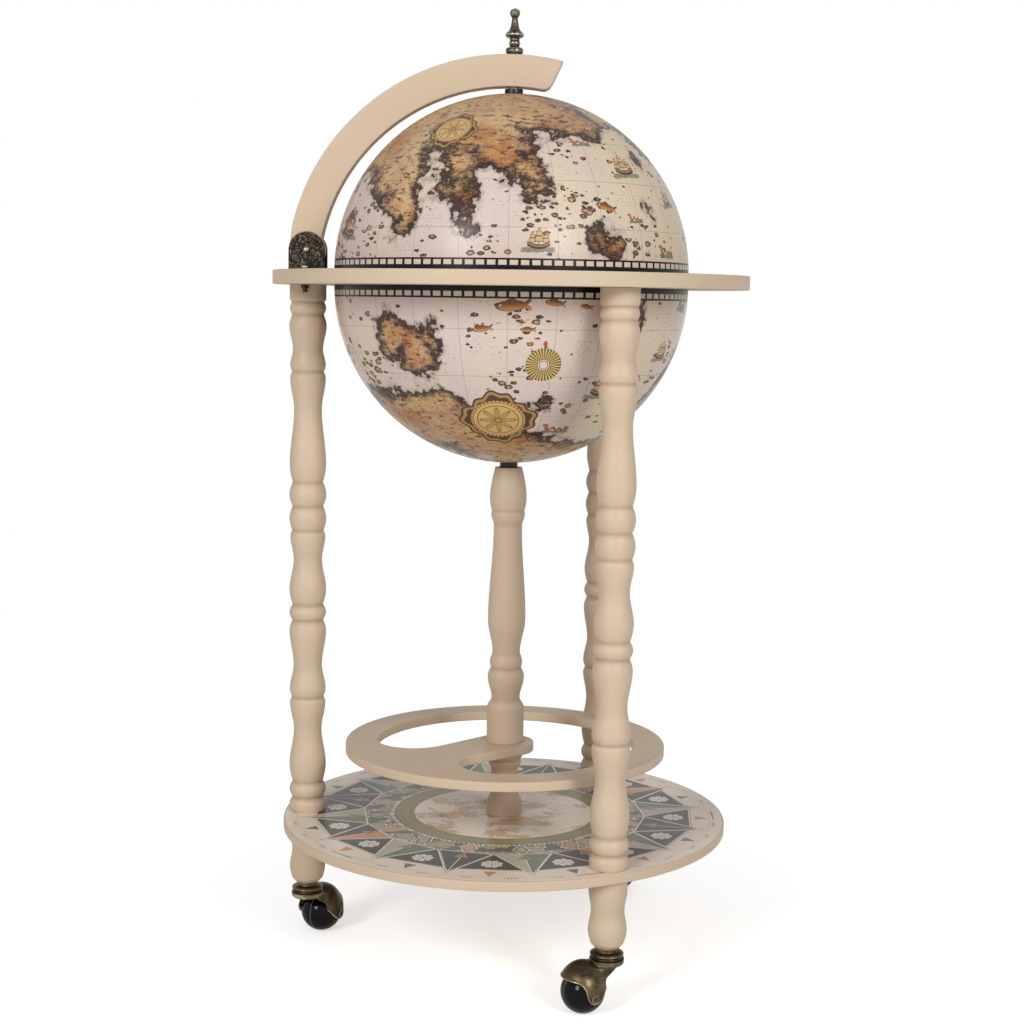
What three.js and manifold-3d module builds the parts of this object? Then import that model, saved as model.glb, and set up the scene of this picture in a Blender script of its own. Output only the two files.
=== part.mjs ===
// A floor globe bar: a turned three-legged stand on ball casters, with a printed shelf, a bottle
// ring on a turned centre post, a flat horizon ring, and a globe whose upper half hinges open on a
// wooden meridian arm. Millimetres, +Z up, the floor at zero and the centre post on the Z axis.
// The hinge is at -X and the front is at -Y.
import * as THREE from 'three';
import { mergeVertices } from 'three/addons/utils/BufferGeometryUtils.js';
import Module from 'manifold-3d';

// Clearances
const seatGap = 0.3;
const runningGap = 0.3;
const cutOverrun = 4;
const weldDistance = 0.0001;
const pointMergeDistance = 0.03;

// Globe: two shells, each a hemisphere with a short straight rim
const globeRadius = 167.5;
const shellWall = 3.5;
const rimHeight = 5.4;
const rimGap = 0.6;
const poleFlatRadius = 14;

// Stand: three legs at equal angles, the first under the hinge, in line with the middle of the
// horizon ring round the globe
const legCount = 3;
const ringClearance = 4.5;
const ringBore = globeRadius + ringClearance;
const ringWidth = 53;
const ringRadius = ringBore + ringWidth;
const ringThickness = 13;
const legInset = 21.5;
const legCircleRadius = ringBore + legInset;
const footUnderside = 57.4;
const footLength = 63.3;
const footRadius = 17.4;
const legLength = 511.7;
const legRadius = 17.75;
const shelfMargin = 21.5;
const shelfRadius = legCircleRadius + shelfMargin;
const shelfThickness = 9;
const boardEdgeRound = 2;

// Fasteners inside the wood
const studRadius = 4;
const studReach = 26;
const dowelRadius = 5;
const dowelReachInLeg = 22;
const dowelReachInRing = 8;

// Centre post, from the shelf to the globe, round one threaded rod
const rodRadius = 4;
const lowerPostLength = 62.4;
const lowerPostRadius = 17.6;
const upperPostRadius = 18.2;
const bushRadius = 8.6;
const bushThickness = 4.8;
const nutAcrossFlats = 13;
const nutHeight = 6.5;
const rodBeyondNut = 3;
const washerRadius = 12;
const washerThickness = 2;

// Bottle ring, clear of the legs: a rim, a hub on the post and one S-shaped arm between them
const bottleRingClearance = 20.45;
const bottleRingRadius = legCircleRadius - legRadius - bottleRingClearance;
const bottleRingRim = 30.3;
const bottleRingBore = bottleRingRadius - bottleRingRim;
const bottleRingThickness = 9;
const hubShare = 0.224;
const leftPocketShare = 0.288;
const frontPocketShare = 0.176;
const hubRadius = bottleRingBore * hubShare;
const leftPocketRadius = bottleRingBore * leftPocketShare;
const frontPocketRadius = bottleRingBore * frontPocketShare;
const frontPocketAngle = -100;

// Rack inside the lower half: a round board with bottle holes
const rackThickness = 6;
const rackHoleCount = 3;
const rackHoleShare = 0.2567;
const rackCircleShare = 0.5672;
const rackSeatStep = 2;

// Meridian arm, an arc of flat board clear of the globe
const armClearance = 12;
const armWidth = 29.8;
const armInnerRadius = globeRadius + armClearance;
const armOuterRadius = armInnerRadius + armWidth;
const armMidRadius = (armInnerRadius + armOuterRadius) / 2;
const armThickness = 20;
const armCentreSetback = 4;
const armEyeRadius = 17;
const armEndOuterAngle = 13.4;
const armEndInnerAngle = 9.4;
const armEndRoundShare = 0.32;

// Hinge: two angle plates, a pin, and a bolt and nut through the ring for each plate
const pinHeight = 19.5;
const pinRadius = 3;
const pinHeadRadius = 4.2;
const pinHeadHeight = 3;
const plateHalfWidth = 17.15;
const plateThickness = 2;
const plateTabRadius = 8.5;
const boltRadius = 2.4;
const boltFromPlate = 10.2;
const boltHeadRadius = 4;
const boltHeadHeight = 2.6;
const smallWasherRadius = 4.3;
const smallWasherThickness = 0.8;
const smallNutAcrossFlats = 7;
const smallNutHeight = 2.2;
const boltBeyondNut = 4;

// Finial
const finialHeight = 42.5;
const finialRadius = 9;
const finialThreadDepth = 12;
const finialThreadRadius = 2;

// Casters: a fixed stem, a swivelling hood, an axle and a ball
const ballRadius = 20;
const casterTrail = 24;
const casterTrailAngles = [62, 208, -6];
const hoodWall = 1.8;
const hoodClearance = 1.2;
const hoodRise = 28;
const swivelDiscRadius = 15.5;
const swivelDiscThickness = 7.2;
const swivelDiscChamfer = 1.2;
const cheekInset = 11.5;
const cheekDepth = 11;
const cheekFootRadius = 15.5;
const cheekFootTrail = 13;
const cheekLengthShare = 1.4;
const collarRadius = 15;
const collarThickness = 5.2;
const neckLength = 2.6;
const collarGrooveDepth = 1;
const neckRadius = 10;
const spindleRadius = 5;
const spindleHeadRadius = 7;
const spindleHeadThickness = 2.4;
const stemRadius = 4.5;
const stemToStud = 3.3;
const stemLength = footLength - studReach - stemToStud;
const socketWall = 1;
const axleRadius = 2;
const axleHeadRadius = 4;
const axleHeadHeight = 1.4;
const ballFlat = 1.2;

// Heights that follow from the sizes above
const shelfUnderside = footUnderside + footLength + seatGap;
const shelfTop = shelfUnderside + shelfThickness;
const ringUnderside = shelfTop + legLength + 2 * seatGap;
const ringTop = ringUnderside + ringThickness;
const splitLevel = ringUnderside + ringThickness / 2;
const lowerCentre = splitLevel - rimGap / 2 - rimHeight;
const upperCentre = splitLevel + rimGap / 2 + rimHeight;
// Each pole has a small flat, outside and inside, where its bush and washer seat.
const poleFlatRise = Math.sqrt(globeRadius ** 2 - poleFlatRadius ** 2);
const innerShellRadius = globeRadius - shellWall;
const innerPoleFlatRise = Math.sqrt(innerShellRadius ** 2 - poleFlatRadius ** 2);
const globeBottom = lowerCentre - poleFlatRise;
const globeTop = upperCentre + poleFlatRise;
const bottleRingUnderside = shelfTop + lowerPostLength + 2 * seatGap;
const bottleRingTop = bottleRingUnderside + bottleRingThickness;
const upperPostBottom = bottleRingTop + seatGap;
const upperPostTop = globeBottom - bushThickness - 2 * seatGap;
const upperPostLength = upperPostTop - upperPostBottom;
const rodBore = rodRadius + runningGap;
const pinLevel = ringTop + pinHeight;
const armTop = splitLevel + Math.sqrt(armOuterRadius ** 2 - armCentreSetback ** 2);
const armUnderside = splitLevel + Math.sqrt(armInnerRadius ** 2 - armCentreSetback ** 2);

// Facet counts
const legFacets = 12;
const postFacets = 14;
const boardFacets = 40;
const globeFacets = 28;
const globeSteps = 8;
const holeFacets = 16;
const smallFacets = 8;
const casterFacets = 12;
const ballSteps = 7;
const hoodSteps = 8;
const turnedStep = 20;
const footStep = 9;
const finialStep = 3;
const arcSag = 0.35;
const fineSag = 0.12;
const armEndSteps = 4;

// Turned outlines: rows of [height share, radius share, kind]. A soft row is a crest or a neck with
// a level tangent, a sharp row is a groove or a square edge.
const legShares = [
  [0, 0.96, 'sharp'], [0.011, 1, 'soft'], [0.0252, 0.83, 'sharp'], [0.0405, 1, 'soft'],
  [0.0555, 0.83, 'sharp'], [0.0899, 1, 'soft'], [0.1575, 0.76, 'soft'], [0.2103, 0.97, 'soft'],
  [0.22, 0.86, 'sharp'], [0.2357, 0.98, 'soft'], [0.2822, 0.775, 'soft'], [0.3481, 1, 'soft'],
  [0.3684, 0.83, 'sharp'], [0.3833, 1, 'soft'], [0.3983, 0.83, 'sharp'], [0.428, 1, 'soft'],
  [0.4847, 0.77, 'soft'], [0.5286, 0.95, 'soft'], [0.54, 0.85, 'sharp'], [0.5628, 1, 'soft'],
  [0.5857, 0.83, 'sharp'], [0.6086, 1, 'soft'], [0.6312, 0.82, 'sharp'], [0.6652, 0.985, 'soft'],
  [0.7688, 0.75, 'soft'], [0.8268, 0.96, 'soft'], [0.8391, 0.85, 'sharp'], [0.8512, 0.96, 'soft'],
  [0.8809, 0.81, 'soft'], [0.9237, 1, 'soft'], [0.9452, 0.85, 'sharp'], [0.9572, 0.97, 'soft'],
  [0.9683, 0.87, 'sharp'], [0.9738, 0.98, 'soft'], [1, 0.98, 'sharp'],
];
const footShares = [
  [0, 0.62, 'sharp'], [0.27, 1, 'soft'], [0.532, 0.865, 'soft'], [0.83, 1, 'soft'],
  [1, 0.98, 'sharp'],
];
const lowerPostShares = [
  [0, 0.99, 'sharp'], [0.14, 0.98, 'soft'], [0.43, 0.66, 'soft'], [0.71, 0.75, 'soft'],
  [0.765, 0.8, 'sharp'], [0.815, 0.91, 'soft'], [0.87, 0.85, 'sharp'], [0.93, 0.99, 'soft'],
  [1, 0.99, 'sharp'],
];
const upperPostShares = [
  [0, 0.99, 'sharp'], [0.125, 0.99, 'soft'], [0.1625, 0.755, 'soft'], [0.185, 0.8, 'sharp'],
  [0.2405, 0.97, 'soft'], [0.2703, 0.81, 'sharp'], [0.2963, 0.865, 'soft'], [0.3297, 0.735, 'soft'],
  [0.4487, 1, 'soft'], [0.7892, 0.75, 'soft'], [0.8316, 0.895, 'soft'], [0.8428, 0.86, 'sharp'],
  [0.8874, 0.975, 'soft'], [1, 0.71, 'sharp'],
];
const finialShares = [
  [0, 0.91, 'sharp'], [0.13, 0.91, 'sharp'], [0.19, 0.46, 'soft'], [0.245, 0.61, 'soft'],
  [0.3, 0.48, 'soft'], [0.36, 0.6, 'sharp'], [0.42, 1, 'soft'], [0.5, 0.59, 'sharp'],
  [0.78, 0.3, 'sharp'], [0.885, 0.54, 'soft'], [1, 0, 'sharp'],
];

// The outline of the hood seen along its axle, as shares of the hood's outer radius
const hoodEdgeShares = [
  [1.1, 0.46], [0.56, 0.34], [0.38, 0.05], [0.27, -0.18], [0, -0.32], [-0.27, -0.2],
  [-0.52, 0.12], [-0.74, 0.42], [-1.2, 0.62], [-1.75, 1], [-1.75, 1.4], [1.1, 1.4],
];

// Domed heads: the radius and height of the shoulder as shares of the head's radius and height
const pinHeadShares = [0.7, 0.75];
const boltHeadShares = [0.75, 0.75];
const axleHeadShare = 0.6;

const wasm = await Module();
wasm.setup();

const paint = new THREE.MeshStandardMaterial({ color: 0xd2bfa9, roughness: 0.55 });
const brass = new THREE.MeshStandardMaterial({ color: 0x6e5a36, roughness: 0.4, metalness: 0.9 });
const steel = new THREE.MeshStandardMaterial({ color: 0x8d8a84, roughness: 0.35, metalness: 1 });
const blackPlastic = new THREE.MeshStandardMaterial({ color: 0x161616, roughness: 0.35 });
const printedShell = new THREE.MeshStandardMaterial({ color: 0xd9b994, roughness: 0.3 });

function radians(degrees) {
  return THREE.MathUtils.degToRad(degrees);
}

// Boolean helpers

function toSolid(geometry) {
  const bare = geometry.clone();
  bare.deleteAttribute('normal');
  bare.deleteAttribute('uv');
  const merged = mergeVertices(bare, weldDistance);
  return new wasm.Manifold(new wasm.Mesh({
    numProp: 3,
    vertProperties: new Float32Array(merged.attributes.position.array),
    triVerts: new Uint32Array(merged.index.array),
  }));
}

function toGeometry(solid) {
  const mesh = solid.getMesh();
  const geometry = new THREE.BufferGeometry();
  geometry.setAttribute('position', new THREE.BufferAttribute(mesh.vertProperties, 3));
  geometry.setIndex(new THREE.BufferAttribute(mesh.triVerts, 1));
  return geometry;
}

function cut(geometry, tools) {
  return toGeometry(tools.reduce((solid, tool) => solid.subtract(toSolid(tool)), toSolid(geometry)));
}

function join(geometries) {
  const [first, ...rest] = geometries.map(toSolid);
  return toGeometry(rest.reduce((solid, next) => solid.add(next), first));
}

// Form helpers

// Revolves an outline of [radius, height] points round the Z axis.
function revolve(outline, facets) {
  const points = outline.map(([radius, height]) => new THREE.Vector2(radius, height));
  return new THREE.LatheGeometry(points, facets).rotateX(Math.PI / 2);
}

// A rod or a round hole along Z, from one height to another.
function rod(radius, bottom, top, facets = smallFacets) {
  return revolve([[0, bottom], [radius, bottom], [radius, top], [0, top]], facets);
}

// A washer or any plain ring.
function washer(bore, radius, bottom, top, facets = smallFacets) {
  const start = [bore, bottom];
  return revolve([start, [radius, bottom], [radius, top], [bore, top], start], facets);
}

// A hexagon nut with its bore.
function hexNut(bore, acrossFlats, bottom, top) {
  const hexagon = revolve([
    [0, bottom], [acrossFlats / Math.sqrt(3), bottom], [acrossFlats / Math.sqrt(3), top], [0, top],
  ], 6);
  return cut(hexagon, [rod(bore, bottom - cutOverrun, top + cutOverrun)]);
}

// Points from the rows of a turned outline. Between two soft rows the curve is half a cosine,
// between a soft and a sharp row it is a quarter of a sine, and between two sharp rows it is straight.
function turnedOutline(shares, height, radius, bottom, step = turnedStep) {
  const points = [[shares[0][1] * radius, bottom]];
  for (let row = 1; row < shares.length; row++) {
    const [fromHeight, fromRadius, fromKind] = shares[row - 1];
    const [toHeight, toRadius, toKind] = shares[row];
    const rise = (toHeight - fromHeight) * height;
    const straight = fromKind === 'sharp' && toKind === 'sharp';
    const steps = straight ? 1 : Math.max(1, Math.round(rise / step));
    for (let i = 1; i <= steps; i++) {
      const t = i / steps;
      let blend = t;
      if (fromKind === 'soft' && toKind === 'soft') blend = (1 - Math.cos(Math.PI * t)) / 2;
      else if (fromKind === 'sharp' && toKind === 'soft') blend = Math.sin(Math.PI * t / 2);
      else if (fromKind === 'soft' && toKind === 'sharp') blend = 1 - Math.cos(Math.PI * t / 2);
      points.push([
        radius * THREE.MathUtils.lerp(fromRadius, toRadius, blend),
        bottom + height * THREE.MathUtils.lerp(fromHeight, toHeight, t),
      ]);
    }
  }
  return points;
}

// The outer side of a board's section as [radius, height] points, with both edges eased.
function easedSide(radius, bottom, top, edge) {
  return [
    [radius - edge, bottom], [radius, bottom + Math.abs(edge)],
    [radius, top - Math.abs(edge)], [radius - edge, top],
  ];
}

// Points along an arc, close enough together that no chord leaves the arc by more than the sag.
function arcPoints(centreX, centreY, radius, from, to, sag = arcSag) {
  const steps = Math.ceil(Math.abs(to - from) / (2 * Math.acos(1 - sag / radius)));
  return Array.from({ length: steps + 1 }, (_, i) => {
    const angle = THREE.MathUtils.lerp(from, to, i / steps);
    return new THREE.Vector2(centreX + radius * Math.cos(angle), centreY + radius * Math.sin(angle));
  });
}

// A closed outline without the repeated point where its last stretch meets its first.
function outlineOf(...stretches) {
  const points = stretches.flat();
  return points.filter((point, i) => point.distanceTo(points[(i + 1) % points.length]) > pointMergeDistance);
}

function extrude(outline, depth, holes = []) {
  const shape = new THREE.Shape(outline);
  shape.holes = holes.map((hole) => new THREE.Path(hole));
  return new THREE.ExtrudeGeometry(shape, { depth, bevelEnabled: false, steps: 1 });
}

// A flat outline in the XZ plane, made thick along Y and centred on it.
function uprightBoard(outline, thickness) {
  return extrude(outline, thickness).translate(0, 0, -thickness / 2).rotateX(Math.PI / 2);
}

function place(geometry, x, y, z) {
  return geometry.translate(x, y, z);
}

// Turns a piece made along Z so that it lies along Y.
function alongY(geometry) {
  return geometry.rotateX(Math.PI / 2);
}

function addMesh(group, name, geometry, material) {
  const mesh = new THREE.Mesh(geometry, material);
  mesh.name = name;
  group.add(mesh);
  return mesh;
}

function legPlace(index) {
  const angle = Math.PI + index * 2 * Math.PI / legCount;
  return [legCircleRadius * Math.cos(angle), legCircleRadius * Math.sin(angle)];
}

const legIndexes = Array.from({ length: legCount }, (_, index) => index);

// Stand

function shelfBoard() {
  const side = easedSide(shelfRadius, shelfUnderside, shelfTop, boardEdgeRound);
  const board = revolve([[0, shelfUnderside], ...side, [0, shelfTop]], boardFacets);
  const bottom = shelfUnderside - cutOverrun;
  const top = shelfTop + cutOverrun;
  const studHoles = legIndexes.map((index) => {
    const [x, y] = legPlace(index);
    return place(rod(studRadius + runningGap, bottom, top), x, y, 0);
  });
  return cut(board, [...studHoles, rod(rodBore, bottom, top)]);
}

function horizonRing() {
  const outer = easedSide(ringRadius, ringUnderside, ringTop, boardEdgeRound);
  const inner = easedSide(ringBore, ringUnderside, ringTop, -boardEdgeRound).reverse();
  const board = revolve([...outer, ...inner, outer[0]], boardFacets);
  const dowelHoles = legIndexes.map((index) => {
    const [x, y] = legPlace(index);
    const top = ringUnderside + dowelReachInRing + seatGap;
    return place(rod(dowelRadius + runningGap, ringUnderside - cutOverrun, top), x, y, 0);
  });
  const boltHoles = [-1, 1].map((side) => place(
    rod(boltRadius + runningGap, ringUnderside - cutOverrun, ringTop + cutOverrun),
    -legCircleRadius,
    side * boltPlace,
    0,
  ));
  return cut(board, [...dowelHoles, ...boltHoles]);
}

// A turned leg with a blind bore for the stud below and another for the dowel above.
function leg() {
  const bottom = shelfTop + seatGap;
  const top = bottom + legLength;
  const studBore = studRadius + runningGap;
  const dowelBore = dowelRadius + runningGap;
  return revolve([
    [0, bottom + studReach], [studBore, bottom + studReach], [studBore, bottom],
    ...turnedOutline(legShares, legLength, legRadius, bottom),
    [dowelBore, top], [dowelBore, top - dowelReachInLeg], [0, top - dowelReachInLeg],
  ], legFacets);
}

// A turned foot with a bore for the caster socket below and one for the stud above.
function foot() {
  const top = footUnderside + footLength;
  const studBore = studRadius + runningGap;
  const socketBore = stemRadius + runningGap + socketWall + runningGap;
  const socketTop = footUnderside + stemLength + seatGap;
  return revolve([
    [0, socketTop], [socketBore, socketTop], [socketBore, footUnderside],
    ...turnedOutline(footShares, footLength, footRadius, footUnderside, footStep),
    [studBore, top], [studBore, top - studReach], [0, top - studReach],
  ], legFacets);
}

function legStud() {
  return rod(studRadius, shelfUnderside - studReach, shelfTop + studReach);
}

function ringDowel() {
  return rod(dowelRadius, ringUnderside - dowelReachInLeg, ringUnderside + dowelReachInRing);
}

// Centre post

function hollowPost(shares, length, radius, bottom) {
  const outline = turnedOutline(shares, length, radius, bottom);
  const start = [rodBore, bottom];
  return revolve([start, ...outline, [rodBore, bottom + length], start], postFacets);
}

function lowerPost() {
  return hollowPost(lowerPostShares, lowerPostLength, lowerPostRadius, shelfTop + seatGap);
}

function upperPost() {
  return hollowPost(upperPostShares, upperPostLength, upperPostRadius, upperPostBottom);
}

// The bottle ring in plan. The hub and each pocket are joined by a straight edge that touches both
// circles, and each pocket runs smoothly into the rim's bore.
function bottleRing() {
  const leftCentreRadius = bottleRingBore - leftPocketRadius;
  const frontCentreRadius = bottleRingBore - frontPocketRadius;
  const leftAngle = Math.PI;
  const frontAngle = radians(frontPocketAngle);
  // The crossing tangent leans from the line of centres by the angle whose sine is the sum of the
  // two radii over the distance between the centres.
  const leftLean = Math.asin((hubRadius + leftPocketRadius) / leftCentreRadius);
  const frontLean = Math.asin((hubRadius + frontPocketRadius) / frontCentreRadius);
  const leftTouch = leftAngle + leftLean - Math.PI / 2;
  const frontTouch = frontAngle - frontLean + Math.PI / 2;
  const leftX = leftCentreRadius * Math.cos(leftAngle);
  const leftY = leftCentreRadius * Math.sin(leftAngle);
  const frontX = frontCentreRadius * Math.cos(frontAngle);
  const frontY = frontCentreRadius * Math.sin(frontAngle);
  const opening = outlineOf(
    arcPoints(0, 0, bottleRingBore, leftAngle, frontAngle),
    arcPoints(frontX, frontY, frontPocketRadius, frontAngle, frontTouch - Math.PI),
    arcPoints(0, 0, hubRadius, frontTouch, leftTouch),
    arcPoints(leftX, leftY, leftPocketRadius, leftTouch - Math.PI, -Math.PI),
  );
  const rim = outlineOf(arcPoints(0, 0, bottleRingRadius, 0, 2 * Math.PI));
  const board = place(extrude(rim, bottleRingThickness, [opening]), 0, 0, bottleRingUnderside);
  return cut(board, [rod(rodBore, bottleRingUnderside - cutOverrun, bottleRingTop + cutOverrun)]);
}

// Globe halves

// One half shell, opening upwards, with its centre at the given height and a hole at its pole.
// Turned over, it makes the upper half.
function halfShell(centre) {
  const arc = (radius, flatRise) => {
    const points = [[rodBore, centre - flatRise], [poleFlatRadius, centre - flatRise]];
    for (let i = 1; i <= globeSteps; i++) {
      const angle = radians(90 * i / globeSteps);
      points.push([radius * Math.sin(angle), centre - radius * Math.cos(angle)]);
    }
    return points;
  };
  const outer = arc(globeRadius, poleFlatRise);
  const inner = arc(innerShellRadius, innerPoleFlatRise).reverse();
  const rim = centre + rimHeight;
  return [...outer, [globeRadius, rim], [innerShellRadius, rim], ...inner, outer[0]];
}

function lowerHemisphere() {
  return revolve(halfShell(lowerCentre), globeFacets);
}

function upperHemisphere() {
  return revolve(halfShell(-upperCentre), globeFacets).rotateX(Math.PI);
}

// The rack rests where the shell's inner face narrows to the rack's lower edge.
function rackSeat() {
  const angle = radians(90 * rackSeatStep / globeSteps);
  return {
    radius: innerShellRadius * Math.cos(angle),
    level: lowerCentre - innerShellRadius * Math.sin(angle),
  };
}

function bottleRack() {
  const { radius, level } = rackSeat();
  const underside = level + seatGap;
  const top = underside + rackThickness;
  const disc = rod(radius - seatGap, underside, top, globeFacets);
  const holes = Array.from({ length: rackHoleCount }, (_, i) => {
    const angle = Math.PI / 2 + i * 2 * Math.PI / rackHoleCount;
    return place(
      rod(globeRadius * rackHoleShare, underside - cutOverrun, top + cutOverrun, holeFacets),
      globeRadius * rackCircleShare * Math.cos(angle),
      globeRadius * rackCircleShare * Math.sin(angle),
      0,
    );
  });
  return cut(disc, holes);
}

// Meridian arm and hinge

const boltPlace = armThickness / 2 + runningGap + plateThickness + boltFromPlate;

function meridianArm() {
  const centreX = -armCentreSetback;
  const hingeAngle = Math.PI - Math.asin((pinLevel - splitLevel) / armMidRadius);
  const outerEnd = radians(90 - armEndOuterAngle);
  const innerEnd = radians(90 - armEndInnerAngle);
  const along = (angle, radius) => [
    centreX + radius * Math.cos(angle),
    splitLevel + radius * Math.sin(angle),
  ];
  const tip = along(outerEnd, armOuterRadius);
  const heel = along(innerEnd - radians(armEndOuterAngle - armEndInnerAngle) / 2, armInnerRadius);
  const endFace = new THREE.Vector2(
    THREE.MathUtils.lerp(heel[0], tip[0], armEndRoundShare),
    THREE.MathUtils.lerp(heel[1], tip[1], armEndRoundShare),
  );
  const innerArc = arcPoints(centreX, splitLevel, armInnerRadius, hingeAngle, innerEnd);
  const corner = new THREE.Vector2(...heel);
  const rounding = new THREE.QuadraticBezierCurve(innerArc.at(-1), corner, endFace);
  const outline = outlineOf(
    arcPoints(centreX, splitLevel, armOuterRadius, outerEnd, hingeAngle),
    innerArc,
    rounding.getPoints(armEndSteps),
  );
  const band = uprightBoard(outline, armThickness);
  const eyeArc = arcPoints(-legCircleRadius, pinLevel, armEyeRadius, 0, 2 * Math.PI, fineSag);
  const eye = uprightBoard(outlineOf(eyeArc), armThickness);
  const pinHole = place(
    alongY(rod(pinRadius + runningGap, -armThickness, armThickness)),
    -legCircleRadius,
    0,
    pinLevel,
  );
  const rodHole = rod(rodBore, armUnderside - cutOverrun, armTop + cutOverrun);
  // A shallow spot face under the arm gives the bush a level seat.
  const spotFace = rod(bushRadius + runningGap, armUnderside - cutOverrun, armUnderside, postFacets);
  return cut(join([band, eye]), [pinHole, rodHole, spotFace]);
}

// An angle plate beside the arm: an upright with a round top, and a round tab bolted to the ring.
// side is -1 for the front plate and 1 for the rear one.
function hingePlate(side) {
  const inner = armThickness / 2 + runningGap;
  const seat = ringTop + seatGap;
  const outline = outlineOf(
    [new THREE.Vector2(-plateHalfWidth, seat), new THREE.Vector2(plateHalfWidth, seat)],
    arcPoints(0, pinLevel, plateHalfWidth, 0, Math.PI, fineSag),
  );
  const upright = uprightBoard(outline, plateThickness);
  place(upright, 0, side * (inner + plateThickness / 2), 0);
  const tabOutline = outlineOf(
    [new THREE.Vector2(-plateTabRadius, inner), new THREE.Vector2(plateTabRadius, inner)],
    arcPoints(0, boltPlace, plateTabRadius, 0, Math.PI, fineSag),
  );
  const tab = place(extrude(tabOutline, plateThickness), 0, 0, seat).rotateZ(side > 0 ? 0 : Math.PI);
  const pinHole = place(alongY(rod(pinRadius + runningGap, -boltPlace, boltPlace)), 0, 0, pinLevel);
  const boltBore = rod(boltRadius + runningGap, seat - cutOverrun, seat + cutOverrun);
  const boltHole = place(boltBore, 0, side * boltPlace, 0);
  return place(cut(join([upright, tab]), [pinHole, boltHole]), -legCircleRadius, 0, 0);
}

const pinShoulder = armThickness / 2 + runningGap + plateThickness + seatGap;

// The pin, with a domed head in front and a plain end for the cap behind.
function hingePin() {
  const [domeRadiusShare, domeHeightShare] = pinHeadShares;
  const pin = revolve([
    [0, -pinShoulder - pinHeadHeight],
    [pinHeadRadius * domeRadiusShare, -pinShoulder - pinHeadHeight * domeHeightShare],
    [pinHeadRadius, -pinShoulder],
    [pinRadius, -pinShoulder],
    [pinRadius, pinShoulder + pinHeadHeight / 2],
    [0, pinShoulder + pinHeadHeight / 2],
  ], smallFacets);
  return place(alongY(pin).rotateZ(Math.PI), -legCircleRadius, 0, pinLevel);
}

function pinCap() {
  const bore = pinRadius + runningGap;
  const end = pinShoulder + pinHeadHeight / 2 + seatGap;
  const cap = revolve([
    [0, end], [bore, end], [bore, pinShoulder], [pinHeadRadius + socketWall, pinShoulder],
    [pinHeadRadius, end + pinHeadHeight / 2], [0, end + pinHeadHeight],
  ], smallFacets);
  return place(alongY(cap).rotateZ(Math.PI), -legCircleRadius, 0, pinLevel);
}

const boltNutTop = ringUnderside - 2 * seatGap - smallWasherThickness;

function bracketBolt(side) {
  const shoulder = ringTop + 2 * seatGap + plateThickness;
  const end = boltNutTop - smallNutHeight - boltBeyondNut;
  const [domeRadiusShare, domeHeightShare] = boltHeadShares;
  const bolt = revolve([
    [0, end], [boltRadius, end], [boltRadius, shoulder], [boltHeadRadius, shoulder],
    [boltHeadRadius * domeRadiusShare, shoulder + boltHeadHeight * domeHeightShare],
    [0, shoulder + boltHeadHeight],
  ], smallFacets);
  return place(bolt, -legCircleRadius, side * boltPlace, 0);
}

function bracketWasher(side) {
  const top = ringUnderside - seatGap;
  return place(
    washer(boltRadius + runningGap, smallWasherRadius, top - smallWasherThickness, top),
    -legCircleRadius,
    side * boltPlace,
    0,
  );
}

function bracketNut(side) {
  const bore = boltRadius + runningGap;
  const nut = hexNut(bore, smallNutAcrossFlats, boltNutTop - smallNutHeight, boltNutTop);
  return place(nut, -legCircleRadius, side * boltPlace, 0);
}

// Rods, bushes, washers and nuts on the axis

const lowerWasherBottom = lowerCentre - innerPoleFlatRise + seatGap;
const lowerNutBottom = lowerWasherBottom + washerThickness + seatGap;
const upperWasherTop = upperCentre + innerPoleFlatRise - seatGap;
const upperNutTop = upperWasherTop - washerThickness - seatGap;
const underWasherTop = shelfUnderside - seatGap;
const underNutTop = underWasherTop - washerThickness - seatGap;

function postRod() {
  const end = nutHeight + rodBeyondNut;
  return rod(rodRadius, underNutTop - end, lowerNutBottom + end);
}

function rodWasher(top) {
  return washer(rodBore, washerRadius, top - washerThickness, top);
}

function rodNut(top) {
  return hexNut(rodBore, nutAcrossFlats, top - nutHeight, top);
}

// The arm's rod steps down to a thin thread above the arm for the finial.
function armRod() {
  const end = upperNutTop - nutHeight - rodBeyondNut;
  const top = armTop + finialThreadDepth;
  return revolve([
    [0, end], [rodRadius, end], [rodRadius, armTop], [finialThreadRadius, armTop],
    [finialThreadRadius, top], [0, top],
  ], smallFacets);
}

function bush(bottom, top) {
  return washer(rodBore, bushRadius, bottom, top, postFacets);
}

function finial() {
  const bottom = armTop + seatGap;
  const outline = turnedOutline(finialShares, finialHeight, finialRadius, bottom, finialStep);
  const threadTop = armTop + finialThreadDepth + seatGap;
  const bore = finialThreadRadius + runningGap;
  return revolve([[0, threadTop], [bore, threadTop], [bore, bottom], ...outline], casterFacets);
}

// Casters, made at the origin with the stem on the Z axis and the ball trailing along +X

const collarTop = footUnderside - seatGap;
const collarUnderside = collarTop - neckLength - collarThickness;
const discTop = collarUnderside - seatGap;
const discUnderside = discTop - swivelDiscThickness;

function casterSocket() {
  const bore = stemRadius + runningGap;
  return washer(bore, bore + socketWall, footUnderside + seatGap, footUnderside + stemLength, casterFacets);
}

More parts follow.
